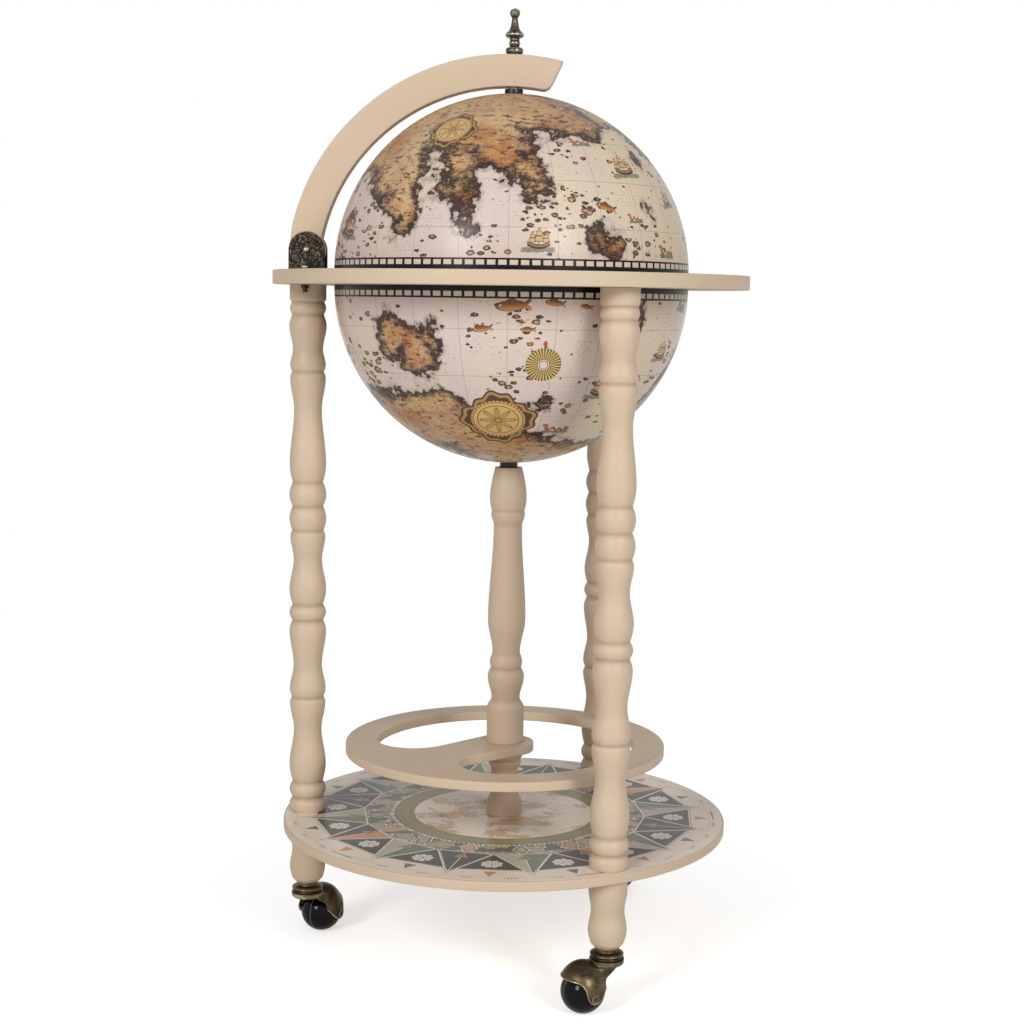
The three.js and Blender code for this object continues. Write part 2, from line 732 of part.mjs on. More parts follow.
// The fixed stem: a shank in the socket, a grooved collar under the foot, and a spindle through the
// hood's disc with its riveted head below.
function casterStem() {
  const shankTop = footUnderside + stemLength - seatGap;
  const headTop = discUnderside - seatGap;
  const headBottom = headTop - spindleHeadThickness;
  const collarMiddle = collarUnderside + collarThickness / 2;
  return revolve([
    [0, headBottom], [spindleHeadRadius, headBottom], [spindleHeadRadius, headTop],
    [spindleRadius, headTop], [spindleRadius, collarUnderside],
    [collarRadius - collarGrooveDepth, collarUnderside],
    [collarRadius, collarUnderside + collarGrooveDepth],
    [collarRadius - collarGrooveDepth, collarMiddle],
    [collarRadius, collarMiddle + collarGrooveDepth],
    [collarRadius - collarGrooveDepth, collarUnderside + collarThickness],
    [neckRadius, collarUnderside + collarThickness],
    [neckRadius, collarTop], [stemRadius, collarTop], [stemRadius, shankTop], [0, shankTop],
  ], casterFacets);
}

// The hood: a tall domed shell over the ball, with two cheeks leaning forward to the swivel disc.
// One side outline trims them, so that two ears reach the axle and the front stays open.
function casterHood() {
  const inner = ballRadius + hoodClearance;
  const outer = inner + hoodWall;
  const dome = (radius, rise) => (
    new THREE.SphereGeometry(radius, 2 * hoodSteps, hoodSteps).scale(1, 1, rise / radius)
  );
  const toBall = (geometry) => place(geometry, casterTrail, 0, ballRadius);
  // The cheeks are an oval cone under the disc that leans towards the ball. The front opening is cut
  // through the cone and the dome together.
  const discEdge = swivelDiscRadius - swivelDiscChamfer;
  const lean = new THREE.Matrix4().makeShear(0, 0, 0, 0, -cheekFootTrail / cheekDepth, 0);
  const cone = revolve([
    [0, -cheekDepth], [cheekFootRadius, -cheekDepth], [discEdge, 0],
    [discEdge, swivelDiscChamfer], [0, swivelDiscChamfer],
  ], casterFacets).scale(cheekLengthShare, 1, 1).applyMatrix4(lean);
  const cheeks = place(cone, discEdge * cheekLengthShare - discEdge, 0, discUnderside);
  const openingLength = casterTrail + swivelDiscRadius;
  const opening = place(
    new THREE.BoxGeometry(openingLength, 2 * cheekInset, 2 * cheekDepth),
    casterTrail - openingLength / 2,
    0,
    discUnderside - cheekDepth,
  );
  const side = hoodEdgeShares.map(([x, z]) => new THREE.Vector2(x * outer, z * outer));
  const trim = toBall(uprightBoard(side, 2 * outer + cutOverrun));
  const shell = toSolid(join([toBall(dome(outer, hoodRise)), cheeks])).intersect(toSolid(trim));
  const opened = toGeometry(shell.subtract(toSolid(opening)));
  const disc = revolve([
    [0, discUnderside], [discEdge, discUnderside],
    [swivelDiscRadius, discUnderside + swivelDiscChamfer], [swivelDiscRadius, discTop], [0, discTop],
  ], casterFacets);
  const spindleBore = spindleRadius + runningGap;
  const spindleHole = rod(spindleBore, discUnderside - cutOverrun, discTop + cutOverrun, casterFacets);
  const axleReach = outer + cutOverrun;
  const axleHole = toBall(alongY(rod(axleRadius + runningGap, -axleReach, axleReach)));
  const ballRoom = toBall(dome(inner, hoodRise - hoodWall));
  return cut(join([opened, disc]), [spindleHole, axleHole, ballRoom]);
}

function casterAxle() {
  const shoulder = ballRadius + hoodClearance + hoodWall + seatGap;
  const axle = revolve([
    [0, -shoulder - axleHeadHeight], [axleHeadRadius * axleHeadShare, -shoulder - axleHeadHeight],
    [axleHeadRadius, -shoulder], [axleRadius, -shoulder],
    [axleRadius, shoulder], [axleHeadRadius, shoulder],
    [axleHeadRadius * axleHeadShare, shoulder + axleHeadHeight], [0, shoulder + axleHeadHeight],
  ], smallFacets);
  return place(alongY(axle), casterTrail, 0, ballRadius);
}

// The ball, revolved about its axle, with a bore and two small flats beside the ears.
function casterBall() {
  const bore = axleRadius + runningGap;
  const end = ballRadius - ballFlat;
  const endAngle = Math.acos(end / ballRadius);
  const outline = [[bore, -end]];
  for (let i = 0; i <= ballSteps; i++) {
    const angle = THREE.MathUtils.lerp(endAngle, Math.PI - endAngle, i / ballSteps);
    outline.push([ballRadius * Math.sin(angle), -ballRadius * Math.cos(angle)]);
  }
  outline.push([bore, end], [bore, -end]);
  return place(alongY(revolve(outline, 2 * ballSteps)), casterTrail, 0, ballRadius);
}

// Assembly

const bar = new THREE.Group();
const sides = ['left', 'front', 'back'];

addMesh(bar, 'shelf_board', shelfBoard(), paint);
addMesh(bar, 'horizon_ring', horizonRing(), paint);
legIndexes.forEach((index) => {
  const [x, y] = legPlace(index);
  const side = sides[index];
  const group = new THREE.Group();
  group.position.set(x, y, 0);
  bar.add(group);
  addMesh(group, `foot_${side}`, foot(), paint);
  addMesh(group, `leg_${side}`, leg(), paint);
  addMesh(group, `leg_stud_${side}`, legStud(), steel);
  addMesh(group, `ring_dowel_${side}`, ringDowel(), paint);
  addMesh(group, `caster_socket_${side}`, casterSocket(), steel);
  addMesh(group, `caster_stem_${side}`, casterStem(), brass);
  const swivel = new THREE.Group();
  swivel.rotation.z = radians(casterTrailAngles[index]);
  group.add(swivel);
  addMesh(swivel, `caster_hood_${side}`, casterHood(), brass);
  addMesh(swivel, `caster_axle_${side}`, casterAxle(), brass);
  addMesh(swivel, `caster_ball_${side}`, casterBall(), blackPlastic);
});

addMesh(bar, 'post_rod', postRod(), steel);
addMesh(bar, 'post_under_washer', rodWasher(underWasherTop), steel);
addMesh(bar, 'post_under_nut', rodNut(underNutTop), steel);
addMesh(bar, 'post_lower', lowerPost(), paint);
addMesh(bar, 'bottle_ring', bottleRing(), paint);
addMesh(bar, 'post_upper', upperPost(), paint);
addMesh(bar, 'lower_bush', bush(upperPostTop + seatGap, globeBottom - seatGap), blackPlastic);
addMesh(bar, 'lower_hemisphere', lowerHemisphere(), printedShell);
addMesh(bar, 'lower_inner_washer', rodWasher(lowerWasherBottom + washerThickness), steel);
addMesh(bar, 'lower_inner_nut', rodNut(lowerNutBottom + nutHeight), steel);
addMesh(bar, 'bottle_rack', bottleRack(), paint);

[['front', -1], ['rear', 1]].forEach(([name, side]) => {
  addMesh(bar, `hinge_plate_${name}`, hingePlate(side), brass);
  addMesh(bar, `bracket_bolt_${name}`, bracketBolt(side), brass);
  addMesh(bar, `bracket_washer_${name}`, bracketWasher(side), brass);
  addMesh(bar, `bracket_nut_${name}`, bracketNut(side), brass);
});
addMesh(bar, 'hinge_pin', hingePin(), brass);
addMesh(bar, 'hinge_pin_cap', pinCap(), brass);

addMesh(bar, 'meridian_arm', meridianArm(), paint);
addMesh(bar, 'arm_rod', armRod(), steel);
addMesh(bar, 'finial', finial(), brass);
addMesh(bar, 'upper_bush', bush(globeTop + seatGap, armUnderside - seatGap), blackPlastic);
addMesh(bar, 'upper_hemisphere', upperHemisphere(), printedShell);
addMesh(bar, 'upper_inner_washer', rodWasher(upperWasherTop), steel);
addMesh(bar, 'upper_inner_nut', rodNut(upperNutTop), steel);

export default bar;
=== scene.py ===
import math

import bmesh
import bpy
import numpy as np
from mathutils import Matrix, Vector
from mathutils.geometry import tessellate_polygon


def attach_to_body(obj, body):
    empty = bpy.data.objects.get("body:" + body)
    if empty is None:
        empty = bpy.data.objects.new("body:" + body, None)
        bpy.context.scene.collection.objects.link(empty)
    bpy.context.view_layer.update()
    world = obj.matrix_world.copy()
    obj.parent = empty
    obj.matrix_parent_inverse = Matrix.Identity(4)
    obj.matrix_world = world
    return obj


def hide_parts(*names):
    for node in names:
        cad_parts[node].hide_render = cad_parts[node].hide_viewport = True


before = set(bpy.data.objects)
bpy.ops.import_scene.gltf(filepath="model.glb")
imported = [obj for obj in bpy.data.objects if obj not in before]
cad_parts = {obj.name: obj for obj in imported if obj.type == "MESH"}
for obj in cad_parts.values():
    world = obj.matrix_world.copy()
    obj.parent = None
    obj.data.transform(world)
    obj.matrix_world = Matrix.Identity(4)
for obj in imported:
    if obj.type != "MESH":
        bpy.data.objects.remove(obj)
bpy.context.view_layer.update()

# ---------------------------------------------------------------------------------------------
# Camera: a long lens a little above the middle of the bar, looking slightly down. Its place and
# direction were worked out from the perspective of the photograph.

camera_data = bpy.data.cameras.new("camera")
camera_data.sensor_width = 36.0
camera_data.lens = 63.17
camera = bpy.data.objects.new("camera", camera_data)
bpy.context.scene.collection.objects.link(camera)
camera_place = (0.03033, -1.72123, 0.62912)
camera_right = Vector((0.999755, 0.017078, 0.014066))
camera_ahead = Vector((-0.015326, 0.993081, -0.116424))
camera_axes = Matrix((camera_right, camera_right.cross(camera_ahead), -camera_ahead))
camera.matrix_world = Matrix.Translation(camera_place) @ camera_axes.transposed().to_4x4()
bpy.context.scene.camera = camera

# ---------------------------------------------------------------------------------------------
# Caster balls: hard black plastic, moulded in two halves that meet in a pale seam round the middle.
# Each is revolved about its axle, which lies on the ball's own Y axis while it is made.

MM = 0.001
LEGS = {"left": 180.0, "front": 300.0, "back": 60.0}
LEG_CIRCLE = 193.5
CASTER_TURN = {"left": 62.0, "front": 208.0, "back": -6.0}
CASTER_TRAIL = 24.0
BALL_RADIUS, BALL_FLAT, AXLE_BORE = 20.0, 18.8, 2.3
SEAM_WIDTH, SEAM_DEPTH = 0.26, 0.3


def sheet_of(points, wrap=False):
    """Four-sided faces over a grid of points [row, column], the last column joined to the first
    where wrap is set. With columns running anticlockwise and rows upwards, faces point outwards."""
    rows, columns = points.shape[:2]
    across = np.arange(columns if wrap else columns - 1)
    i, j = np.meshgrid(np.arange(rows - 1), across, indexing="ij")
    k = (j + 1) % columns
    near, far = i * columns, (i + 1) * columns
    faces = np.stack([near + j, near + k, far + k, far + j], -1)
    return {"points": points.reshape(-1, 3), "faces": faces.reshape(-1, 4)}


def turned(profile, sides, **marks):
    """A solid of revolution about Z. Each profile row is [radius, height], listed anticlockwise in
    the radius-height plane, so that faces point outwards: point = (r cos a, r sin a, z).
    A mark is one number per profile row, kept as an attribute."""
    profile = np.asarray(profile, float)
    angle = np.linspace(0.0, 2.0 * np.pi, sides, endpoint=False)
    radius, height = profile[:, :1], profile[:, 1:]
    height = np.broadcast_to(height, (len(profile), sides))
    points = np.stack([radius * np.cos(angle), radius * np.sin(angle), height], -1)
    form = sheet_of(points, wrap=True)
    for name, values in marks.items():
        form[name] = np.repeat(np.asarray(values, float), sides)
    return form


def moved(form, turn=0.0, shift=(0.0, 0.0, 0.0), lay=False):
    """The form laid along Y if asked (x, y, z become x, -z, y), then turned about Z and shifted."""
    x, y, z = form["points"].T
    if lay:
        y, z = -z, y
    c, s = math.cos(math.radians(turn)), math.sin(math.radians(turn))
    return {**form, "points": np.stack([c * x - s * y, s * x + c * y, z], -1) + np.asarray(shift)}


def build(name, forms, material, body, slot, smooth=38.0, weld=True):
    """One mesh object from several closed forms, which stands for the node of that name. Points
    that coincide at poles and joins are welded, and edges sharper than the smooth angle stay
    crisp."""
    points, quads, tris, marks, count = [], [], [], {}, 0
    keys = sorted({key for form in forms for key in form} - {"points", "faces", "tris"})
    for form in forms:
        points.append(form["points"])
        quads.append(form["faces"] + count)
        tris.append(form.get("tris", np.zeros((0, 3), int)) + count)
        for key in keys:
            marks.setdefault(key, []).append(form.get(key, np.zeros(len(form["points"]))))
        count += len(form["points"])
    points, quads, tris = np.concatenate(points), np.concatenate(quads), np.concatenate(tris)
    corners = np.concatenate([quads.ravel(), tris.ravel()])
    starts = np.concatenate([np.arange(len(quads)) * 4, quads.size + np.arange(len(tris)) * 3])
    mesh = bpy.data.meshes.new(f"{name}_skin")
    mesh.vertices.add(count)
    mesh.vertices.foreach_set("co", (points * MM).astype(np.float32).ravel())
    mesh.loops.add(len(corners))
    mesh.loops.foreach_set("vertex_index", corners.astype(np.int32))
    mesh.polygons.add(len(starts))
    mesh.polygons.foreach_set("loop_start", starts.astype(np.int32))
    mesh.update(calc_edges=True)
    for key in keys:
        layer = mesh.attributes.new(key, "FLOAT", "POINT")
        layer.data.foreach_set("value", np.concatenate(marks[key]).astype(np.float32))
    if weld:
        work = bmesh.new()
        work.from_mesh(mesh)
        bmesh.ops.remove_doubles(work, verts=work.verts, dist=1e-6)
        bmesh.ops.dissolve_degenerate(work, edges=work.edges, dist=1e-7)
        work.to_mesh(mesh)
        work.free()
    mesh.shade_smooth()
    mesh.set_sharp_from_angle(angle=math.radians(smooth))
    mesh.materials.append(material)
    piece = bpy.data.objects.new(mesh.name, mesh)
    bpy.context.scene.collection.objects.link(piece)
    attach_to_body(piece, body)
    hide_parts(name)


def build_at_legs(name, form, material, slot, caster_body=None, **options):
    """The form at each leg's place. A caster's form also turns to where its caster trails and rides
    on that caster's body, and any other rides on the stand."""
    for side, way in LEGS.items():
        way = math.radians(way)
        placed = moved(
            form,
            turn=CASTER_TURN[side] if caster_body else 0.0,
            shift=(LEG_CIRCLE * math.cos(way), LEG_CIRCLE * math.sin(way), 0.0),
        )
        body = f"{caster_body}_{side}" if caster_body else "stand"
        build(f"{name}_{side}", [placed], material, body, slot, **options)


class Term:
    """One value in a material, so that a pattern is written as a formula. Each sign adds a Math
    node."""

    def __init__(self, tree, socket):
        self.tree, self.socket = tree, socket

    def calc(self, operation, *others, clamp=False):
        """The result of one Math node, held between 0 and 1 where clamp is set."""
        node = self.tree.nodes.new("ShaderNodeMath")
        node.operation, node.use_clamp = operation, clamp
        for socket, value in zip(node.inputs, (self, *others)):
            attach(self.tree, value, socket)
        return Term(self.tree, node.outputs[0])

    def __add__(self, other):
        return self.calc("ADD", other)

    def __sub__(self, other):
        return self.calc("SUBTRACT", other)

    def __rsub__(self, other):
        return -self + other

    def __mul__(self, other):
        return self.calc("MULTIPLY", other)

    def __truediv__(self, other):
        return self.calc("DIVIDE", other)

    def __neg__(self):
        return self.calc("MULTIPLY", -1.0)

    def __abs__(self):
        return self.calc("ABSOLUTE")

    def squared(self):
        """The value times itself."""
        return self * self

    def held(self):
        """The value held between 0 and 1."""
        return self.calc("ADD", 0.0, clamp=True)

    def above(self, soft=0.25):
        """1 where the value is above zero, 0 below, with a soft edge of that width."""
        return (self / soft + 0.5).held()

    def within(self, low, high, soft=0.35):
        """1 where the value lies between the two limits."""
        return (self - low).above(soft) * (high - self).above(soft)

    def off_half(self):
        """How far the value's fraction lies from a half: 0.5 at whole numbers, 0 between them."""
        return abs(self.calc("FRACT") - 0.5)


def attach(tree, value, socket):
    """Links a value or an output to a socket, or sets the socket to a number or a colour."""
    if isinstance(value, Term):
        tree.links.new(value.socket, socket)
    elif isinstance(value, bpy.types.NodeSocket):
        tree.links.new(value, socket)
    else:
        socket.default_value = (*value, 1.0) if isinstance(value, tuple) else value


def new_material(name):
    """A material with a Principled shader, its node tree and its object coordinates."""
    material = bpy.data.materials.new(name)
    material.use_nodes = True
    tree = material.node_tree
    tree.nodes.clear()
    out = tree.nodes.new("ShaderNodeOutputMaterial")
    shader = tree.nodes.new("ShaderNodeBsdfPrincipled")
    shader.name = "finish"
    tree.links.new(shader.outputs[0], out.inputs[0])
    return material, tree, tree.nodes.new("ShaderNodeTexCoord").outputs["Object"]


def noise(tree, place, scale, detail=3.0, roughness=0.55, stretch=None):
    """Noise from 0 to 1 at that many features per metre, stretched along the axes if asked."""
    if stretch:
        scaled = tree.nodes.new("ShaderNodeMapping")
        scaled.inputs["Scale"].default_value = stretch
        tree.links.new(place, scaled.inputs["Vector"])
        place = scaled.outputs[0]
    node = tree.nodes.new("ShaderNodeTexNoise")
    inputs = {"Vector": place, "Scale": scale, "Detail": detail, "Roughness": roughness}
    for name, value in inputs.items():
        attach(tree, value, node.inputs[name])
    return Term(tree, node.outputs["Fac"])


def mark(tree, name):
    """A vertex attribute as a value."""
    node = tree.nodes.new("ShaderNodeAttribute")
    node.attribute_name = name
    return Term(tree, node.outputs["Fac"])


def mixed(tree, share, under, over):
    """Colour over laid on colour under by that share. Each is a colour or a socket."""
    node = tree.nodes.new("ShaderNodeMix")
    node.data_type = "RGBA"
    for number, value in ((0, share), (6, under), (7, over)):
        attach(tree, value, node.inputs[number])
    return node.outputs[2]


def finish(material, colour, roughness, relief, depth, specular=0.5, metallic=0.0, strength=1.0):
    """The material with its colour and roughness, a relief of that depth in metres from a height
    value, and its plain sockets set."""
    tree = material.node_tree
    bump = tree.nodes.new("ShaderNodeBump")
    bump.inputs["Distance"].default_value = depth
    bump.inputs["Strength"].default_value = strength
    attach(tree, relief, bump.inputs["Height"])
    sockets = {
        "Base Color": colour, "Roughness": roughness, "Normal": bump.outputs[0],
        "Specular IOR Level": specular, "Metallic": metallic,
    }
    for name, value in sockets.items():
        attach(tree, value, tree.nodes["finish"].inputs[name])
    return material


def ball_plastic():
    """Glossy black with faint rolling scuffs and a pale seam where the seam mark is 1."""
    material, tree, place = new_material("black_ball_plastic")
    scuff = noise(tree, place, 420.0, 4.0, 0.6, (1.0, 1.0, 0.25))
    seam = mark(tree, "seam")
    black = mixed(tree, scuff * 0.25, (0.0025, 0.0022, 0.003), (0.008, 0.008, 0.010))
    colour = mixed(tree, seam, black, (0.30, 0.30, 0.31))
    return finish(material, colour, scuff * 0.1 + 0.06 + seam * 0.2, scuff, 0.00005, specular=0.18)


flat_angle = math.acos(BALL_FLAT / BALL_RADIUS)
around = np.linspace(flat_angle, math.pi - flat_angle, 72)
around = np.unique(np.concatenate([around, np.pi / 2 + np.linspace(-0.04, 0.04, 17)]))
ball_height = -BALL_RADIUS * np.cos(around)
ball_seam = np.exp(-((ball_height / SEAM_WIDTH) ** 2))
ball_side = np.stack([BALL_RADIUS * np.sin(around) - SEAM_DEPTH * ball_seam, ball_height], -1)
ball_start, ball_end = [AXLE_BORE, -BALL_FLAT], [AXLE_BORE, BALL_FLAT]
ball = turned(
    np.vstack([ball_start, ball_side, ball_end, ball_start]), 72, seam=np.pad(ball_seam, (1, 2))
)
ball = moved(ball, lay=True, shift=(CASTER_TRAIL, 0.0, BALL_RADIUS))
build_at_legs("caster_ball", ball, ball_plastic(), "black_gloss", "ball")

# ---------------------------------------------------------------------------------------------
# Caster hoods, axles and stems: pressed and turned brass with a dark antique finish. The hood is a
# dome over the ball that runs down to an ear at each end of the axle and forward, by two cheeks, to
# the disc in which the stem's spindle turns.


def new_group(name, **inputs):
    """A shader node group that takes a Place and the inputs named, and gives a Color, a Roughness
    and a Height. It comes with the outputs of its input node."""
    group = bpy.data.node_groups.new(name, "ShaderNodeTree")
    outputs = {"Color": "Color", "Roughness": "Float", "Height": "Float"}
    for in_out, sockets in (("INPUT", {"Place": "Vector", **inputs}), ("OUTPUT", outputs)):
        for socket, kind in sockets.items():
            group.interface.new_socket(name=socket, in_out=in_out, socket_type=f"NodeSocket{kind}")
    return group, group.nodes.new("NodeGroupInput").outputs


def close_group(group, colour, roughness, height):
    """The group with its three results joined to its output node."""
    put = group.nodes.new("NodeGroupOutput")
    for name, value in (("Color", colour), ("Roughness", roughness), ("Height", height)):
        attach(group, value, put.inputs[name])
    return group


def placed_group(tree, group, **inputs):
    """The group's outputs in a material, with its inputs linked or set."""
    node = tree.nodes.new("ShaderNodeGroup")
    node.node_tree = group
    for name, value in inputs.items():
        attach(tree, value, node.inputs[name])
    return node.outputs


def patina_group():
    """Antique brass: dark brown stain in the hollows, brass showing through in cloudy patches, and
    a bright tint along the marked edges that is partly worn brass and partly painted highlight.
    Wear is the edge mark, Grain the size of the clouds, and Warmth runs from a grey brass
    to a golden one."""
    group, given = new_group("antique_patina", Grain="Float", Wear="Float", Warmth="Float")
    cloud = noise(group, given["Place"], given["Grain"], 5.0, 0.65)
    fine = noise(group, given["Place"], 900.0, 4.0, 0.7)
    wear, warmth = Term(group, given["Wear"]), Term(group, given["Warmth"])
    shown = ((cloud - 0.5) * 2.6 + 0.45 + (fine - 0.5) * 1.1 + wear * 0.7).held()
    stain = (0.030, 0.023, 0.016)
    metal = mixed(group, warmth, (0.120, 0.102, 0.078), (0.185, 0.145, 0.075))
    bright = mixed(group, warmth, (0.58, 0.52, 0.44), (0.60, 0.50, 0.29))
    colour = mixed(group, shown, stain, metal)
    # Partly worn brass, partly painted highlight: the bright tint laid along the marked edges.
    colour = mixed(group, (wear * shown * 0.8).held(), colour, bright)
    roughness = shown * -0.16 + 0.42 + (fine - 0.5) * 0.2
    return close_group(group, colour, roughness, cloud * 0.6 + fine * 0.4)


patina = patina_group()


def antique_brass(name, grain, warmth, depth=0.00012):
    """A brass finish with the patina at its own grain."""
    material, tree, place = new_material(name)
    inputs = {"Place": place, "Grain": grain, "Wear": mark(tree, "wear"), "Warmth": warmth}
    brass = placed_group(tree, patina, **inputs)
    return finish(
        material, brass["Color"], brass["Roughness"], brass["Height"], depth, metallic=0.92
    )


def skin_of(field, low, cell):
    """The surface where a field on a grid of points is zero, negative inside. Each grid cell that
    the surface crosses gets one point, the mean of the crossings on its edges, and each crossed
    grid edge gets one four-sided face between the four cells round it."""
    inside = field < 0
    cells = tuple(n - 1 for n in field.shape)
    total, count = np.zeros((*cells, 3)), np.zeros(cells)
    grid = np.stack(np.meshgrid(*[np.arange(n) for n in field.shape], indexing="ij"), -1)
    for axis in range(3):
        first, second = [slice(None)] * 3, [slice(None)] * 3
        first[axis], second[axis] = slice(0, -1), slice(1, None)
        a, b = field[tuple(first)], field[tuple(second)]
        crossed = (a < 0) != (b < 0)
        spot = grid[tuple(first)].astype(float)
        spot[..., axis] += np.where(crossed, a / np.where(crossed, a - b, 1.0), 0.0)
        d1, d2 = [d for d in range(3) if d != axis]
        for step in ((0, 0), (0, 1), (1, 0), (1, 1)):
            part = [slice(None)] * 3
            part[d1] = slice(step[0], step[0] + cells[d1])
            part[d2] = slice(step[1], step[1] + cells[d2])
            hit = crossed[tuple(part)]
            total += np.where(hit[..., None], spot[tuple(part)], 0.0)
            count += hit
    number = np.full(cells, -1)
    number[count > 0] = np.arange(int((count > 0).sum()))
    points = total[count > 0] / count[count > 0][:, None] * cell + np.asarray(low)
    faces = []
    for axis, (d1, d2) in enumerate(((1, 2), (2, 0), (0, 1))):
        start = [slice(0, n - 1) for n in field.shape]
        start[d1], start[d2] = slice(1, -1), slice(1, -1)
        after = list(start)
        after[axis] = slice(1, None)
        a, b = inside[tuple(start)], inside[tuple(after)]
        where = np.argwhere(a != b)
        corners = []
        for step in ((0, 0), (1, 0), (1, 1), (0, 1)):
            spot = where.copy()
            spot[:, d1] += step[0]
            spot[:, d2] += step[1]
            corners.append(number[tuple(spot.T)])
        quad = np.stack(corners, -1)
        faces.append(np.where(a[tuple(where.T)][:, None], quad, quad[:, ::-1]))
    return {"points": points, "faces": np.concatenate(faces)}


def blend_low(a, b, width):
    """The smaller of two fields, with the join between them filled by a fillet of that width."""
    h = np.clip(0.5 + 0.5 * (b - a) / width, 0.0, 1.0)
    return b + (a - b) * h - width * h * (1.0 - h)


def carved(body, *tools):
    """The body's field with each tool's field cut out of it, the edges rounded by that width."""
    for tool, width in tools:
        body = -blend_low(-body, tool, width)
    return body


def egg(x, y, z, radius, rise):
    """Distance from a dome that is round in plan and taller than it is wide, near its surface."""
    length = np.sqrt((x / radius) ** 2 + (y / radius) ** 2 + (z / rise) ** 2)
    slope = np.sqrt((x / radius**2) ** 2 + (y / radius**2) ** 2 + (z / rise**2) ** 2) + 1e-9
    return length * (length - 1.0) / slope


HOOD_INNER, HOOD_WALL, HOOD_RISE = 21.2, 1.8, 28.0
DISC_UNDER, DISC_MIDDLE, DISC_HALF, DISC_RADIUS = 41.8, 44.4, 2.6, 15.6
DISC_CHAMFER, DISC_CHAMFER_RISE = 1.1, 1.6
# The oval cheeks start behind the stem and lean back and widen over their drop from the disc.
CHEEK_RADIUS, CHEEK_STRETCH, CHEEK_WALL, CHEEK_LENGTH, CHEEK_DROP = 14.3, 1.4, 2.2, 15.0, 12.2
CHEEK_BACK, CHEEK_LEAN, CHEEK_FLARE = 5.7, 10.0, 1.4
OPENING_HALF, OPENING_FLARE, OPENING_TOP = 11.8, 0.35, 22.0
LIP_HEIGHT, LIP_WIDTH, LIP_BELOW = 0.5, 0.9, 0.6
SPINDLE_BORE, EAR_RECESS, EAR_GROOVE = 5.3, 4.3, 0.45
# The hood's lower edge seen from the side, measured from the ball's middle.
HOOD_EDGE = np.array([
    [-44.0, 31.0], [-36.0, 20.0], [-29.0, 14.5], [-22.5, 11.5], [-16.5, 8.2], [-12.8, 4.4],
    [-8.5, -1.2], [-4.2, -4.6], [0.5, -5.6], [4.0, -3.9], [6.6, 0.2], [7.9, 5.8], [9.5, 10.2],
    [12.0, 12.8], [15.0, 13.6], [19.0, 14.0], [26.0, 14.4],
])


def hood_form():
    """The hood with its stem on the Z axis and the ball trailing along +X: dome and leaning oval
    cheeks run together, cut by the ball's room, the front opening and the side outline."""
    low, high = (-18.0, -25.5, 10.0), (49.5, 25.5, 50.5)
    cell = 0.45
    x, y, z = np.meshgrid(*[np.arange(a, b, cell) for a, b in zip(low, high)], indexing="ij")
    bx, bz = x - CASTER_TRAIL, z - BALL_RADIUS
    outer = HOOD_INNER + HOOD_WALL
    room = egg(bx, y, bz, HOOD_INNER, HOOD_RISE - HOOD_WALL)
    drop = np.clip((DISC_UNDER + 1.2 - z) / CHEEK_DROP, 0.0, 1.0)
    from_cheek = np.hypot((x - CHEEK_BACK - CHEEK_LEAN * drop) / CHEEK_STRETCH, y)
    cheek_radius = CHEEK_RADIUS + CHEEK_FLARE * drop
    cheek_ends = np.maximum(z - DISC_UNDER - 1.0, DISC_UNDER - CHEEK_LENGTH - z)
    cheek = np.maximum(from_cheek - cheek_radius, cheek_ends)
    cheek_room = np.maximum(from_cheek - (cheek_radius - CHEEK_WALL), z - DISC_UNDER)
    cheek_room = np.maximum(cheek_room, DISC_UNDER - (CHEEK_LENGTH - 1.0) - z)
    body = blend_low(egg(bx, y, bz, outer, HOOD_RISE), cheek, 3.0)
    # The side outline leaves a raised lip along its edge.
    over_edge = np.interp(bx, HOOD_EDGE[:, 0], HOOD_EDGE[:, 1]) - bz
    lip = np.exp(-(((over_edge + LIP_BELOW) / LIP_WIDTH) ** 2)) * (np.hypot(bx, y) > 10.0)
    body = np.maximum(body - LIP_HEIGHT * lip, over_edge * 0.75)
    opening = np.abs(y) - OPENING_HALF - OPENING_FLARE * np.clip(OPENING_TOP - bz, 0.0, 30.0)
    opening = np.maximum(np.maximum(opening, bx), z - DISC_UNDER)
    body = carved(body, (room, 0.3), (cheek_room, 0.3), (opening, 0.5))
    rim = np.hypot(x, y)
    chamfer_share = np.clip((DISC_UNDER + DISC_CHAMFER_RISE - z) / DISC_CHAMFER_RISE, 0.0, 1.0)
    chamfer = DISC_CHAMFER * chamfer_share
    disc = np.maximum(rim - DISC_RADIUS + chamfer, np.abs(z - DISC_MIDDLE) - DISC_HALF)
    recess = np.hypot(np.hypot(bx, bz) - EAR_RECESS, np.abs(y) - outer) - EAR_GROOVE
    body = carved(blend_low(body, disc, 0.8), (rim - SPINDLE_BORE, 0.2), (recess, 0.2))
    form = skin_of(body, low, cell)
    x, y, z = form["points"].T
    # The edge mark, brighter along the lower edge and round the disc's rim: partly worn brass,
    # partly painted highlight.
    edge = np.interp(x - CASTER_TRAIL, HOOD_EDGE[:, 0], HOOD_EDGE[:, 1])
    edge_wear_and_highlight = np.exp(-(((edge - (z - BALL_RADIUS)) / 1.1) ** 2))
    disc_wear_and_highlight = np.exp(-(((np.hypot(x, y) - DISC_RADIUS) / 0.7) ** 2)) * (z > DISC_UNDER - 0.2)
    disc_wear_and_highlight = disc_wear_and_highlight * np.exp(-(((z - DISC_MIDDLE) / 2.2) ** 2))
    form["wear"] = np.clip(edge_wear_and_highlight + 0.35 * disc_wear_and_highlight, 0.0, 1.0)
    return form


hood_brass = antique_brass("antique_brass_pressed", 60.0, 1.0)
build_at_legs(
    "caster_hood", hood_form(), hood_brass, "antique_brass", "swivel", smooth=60.0, weld=False
)

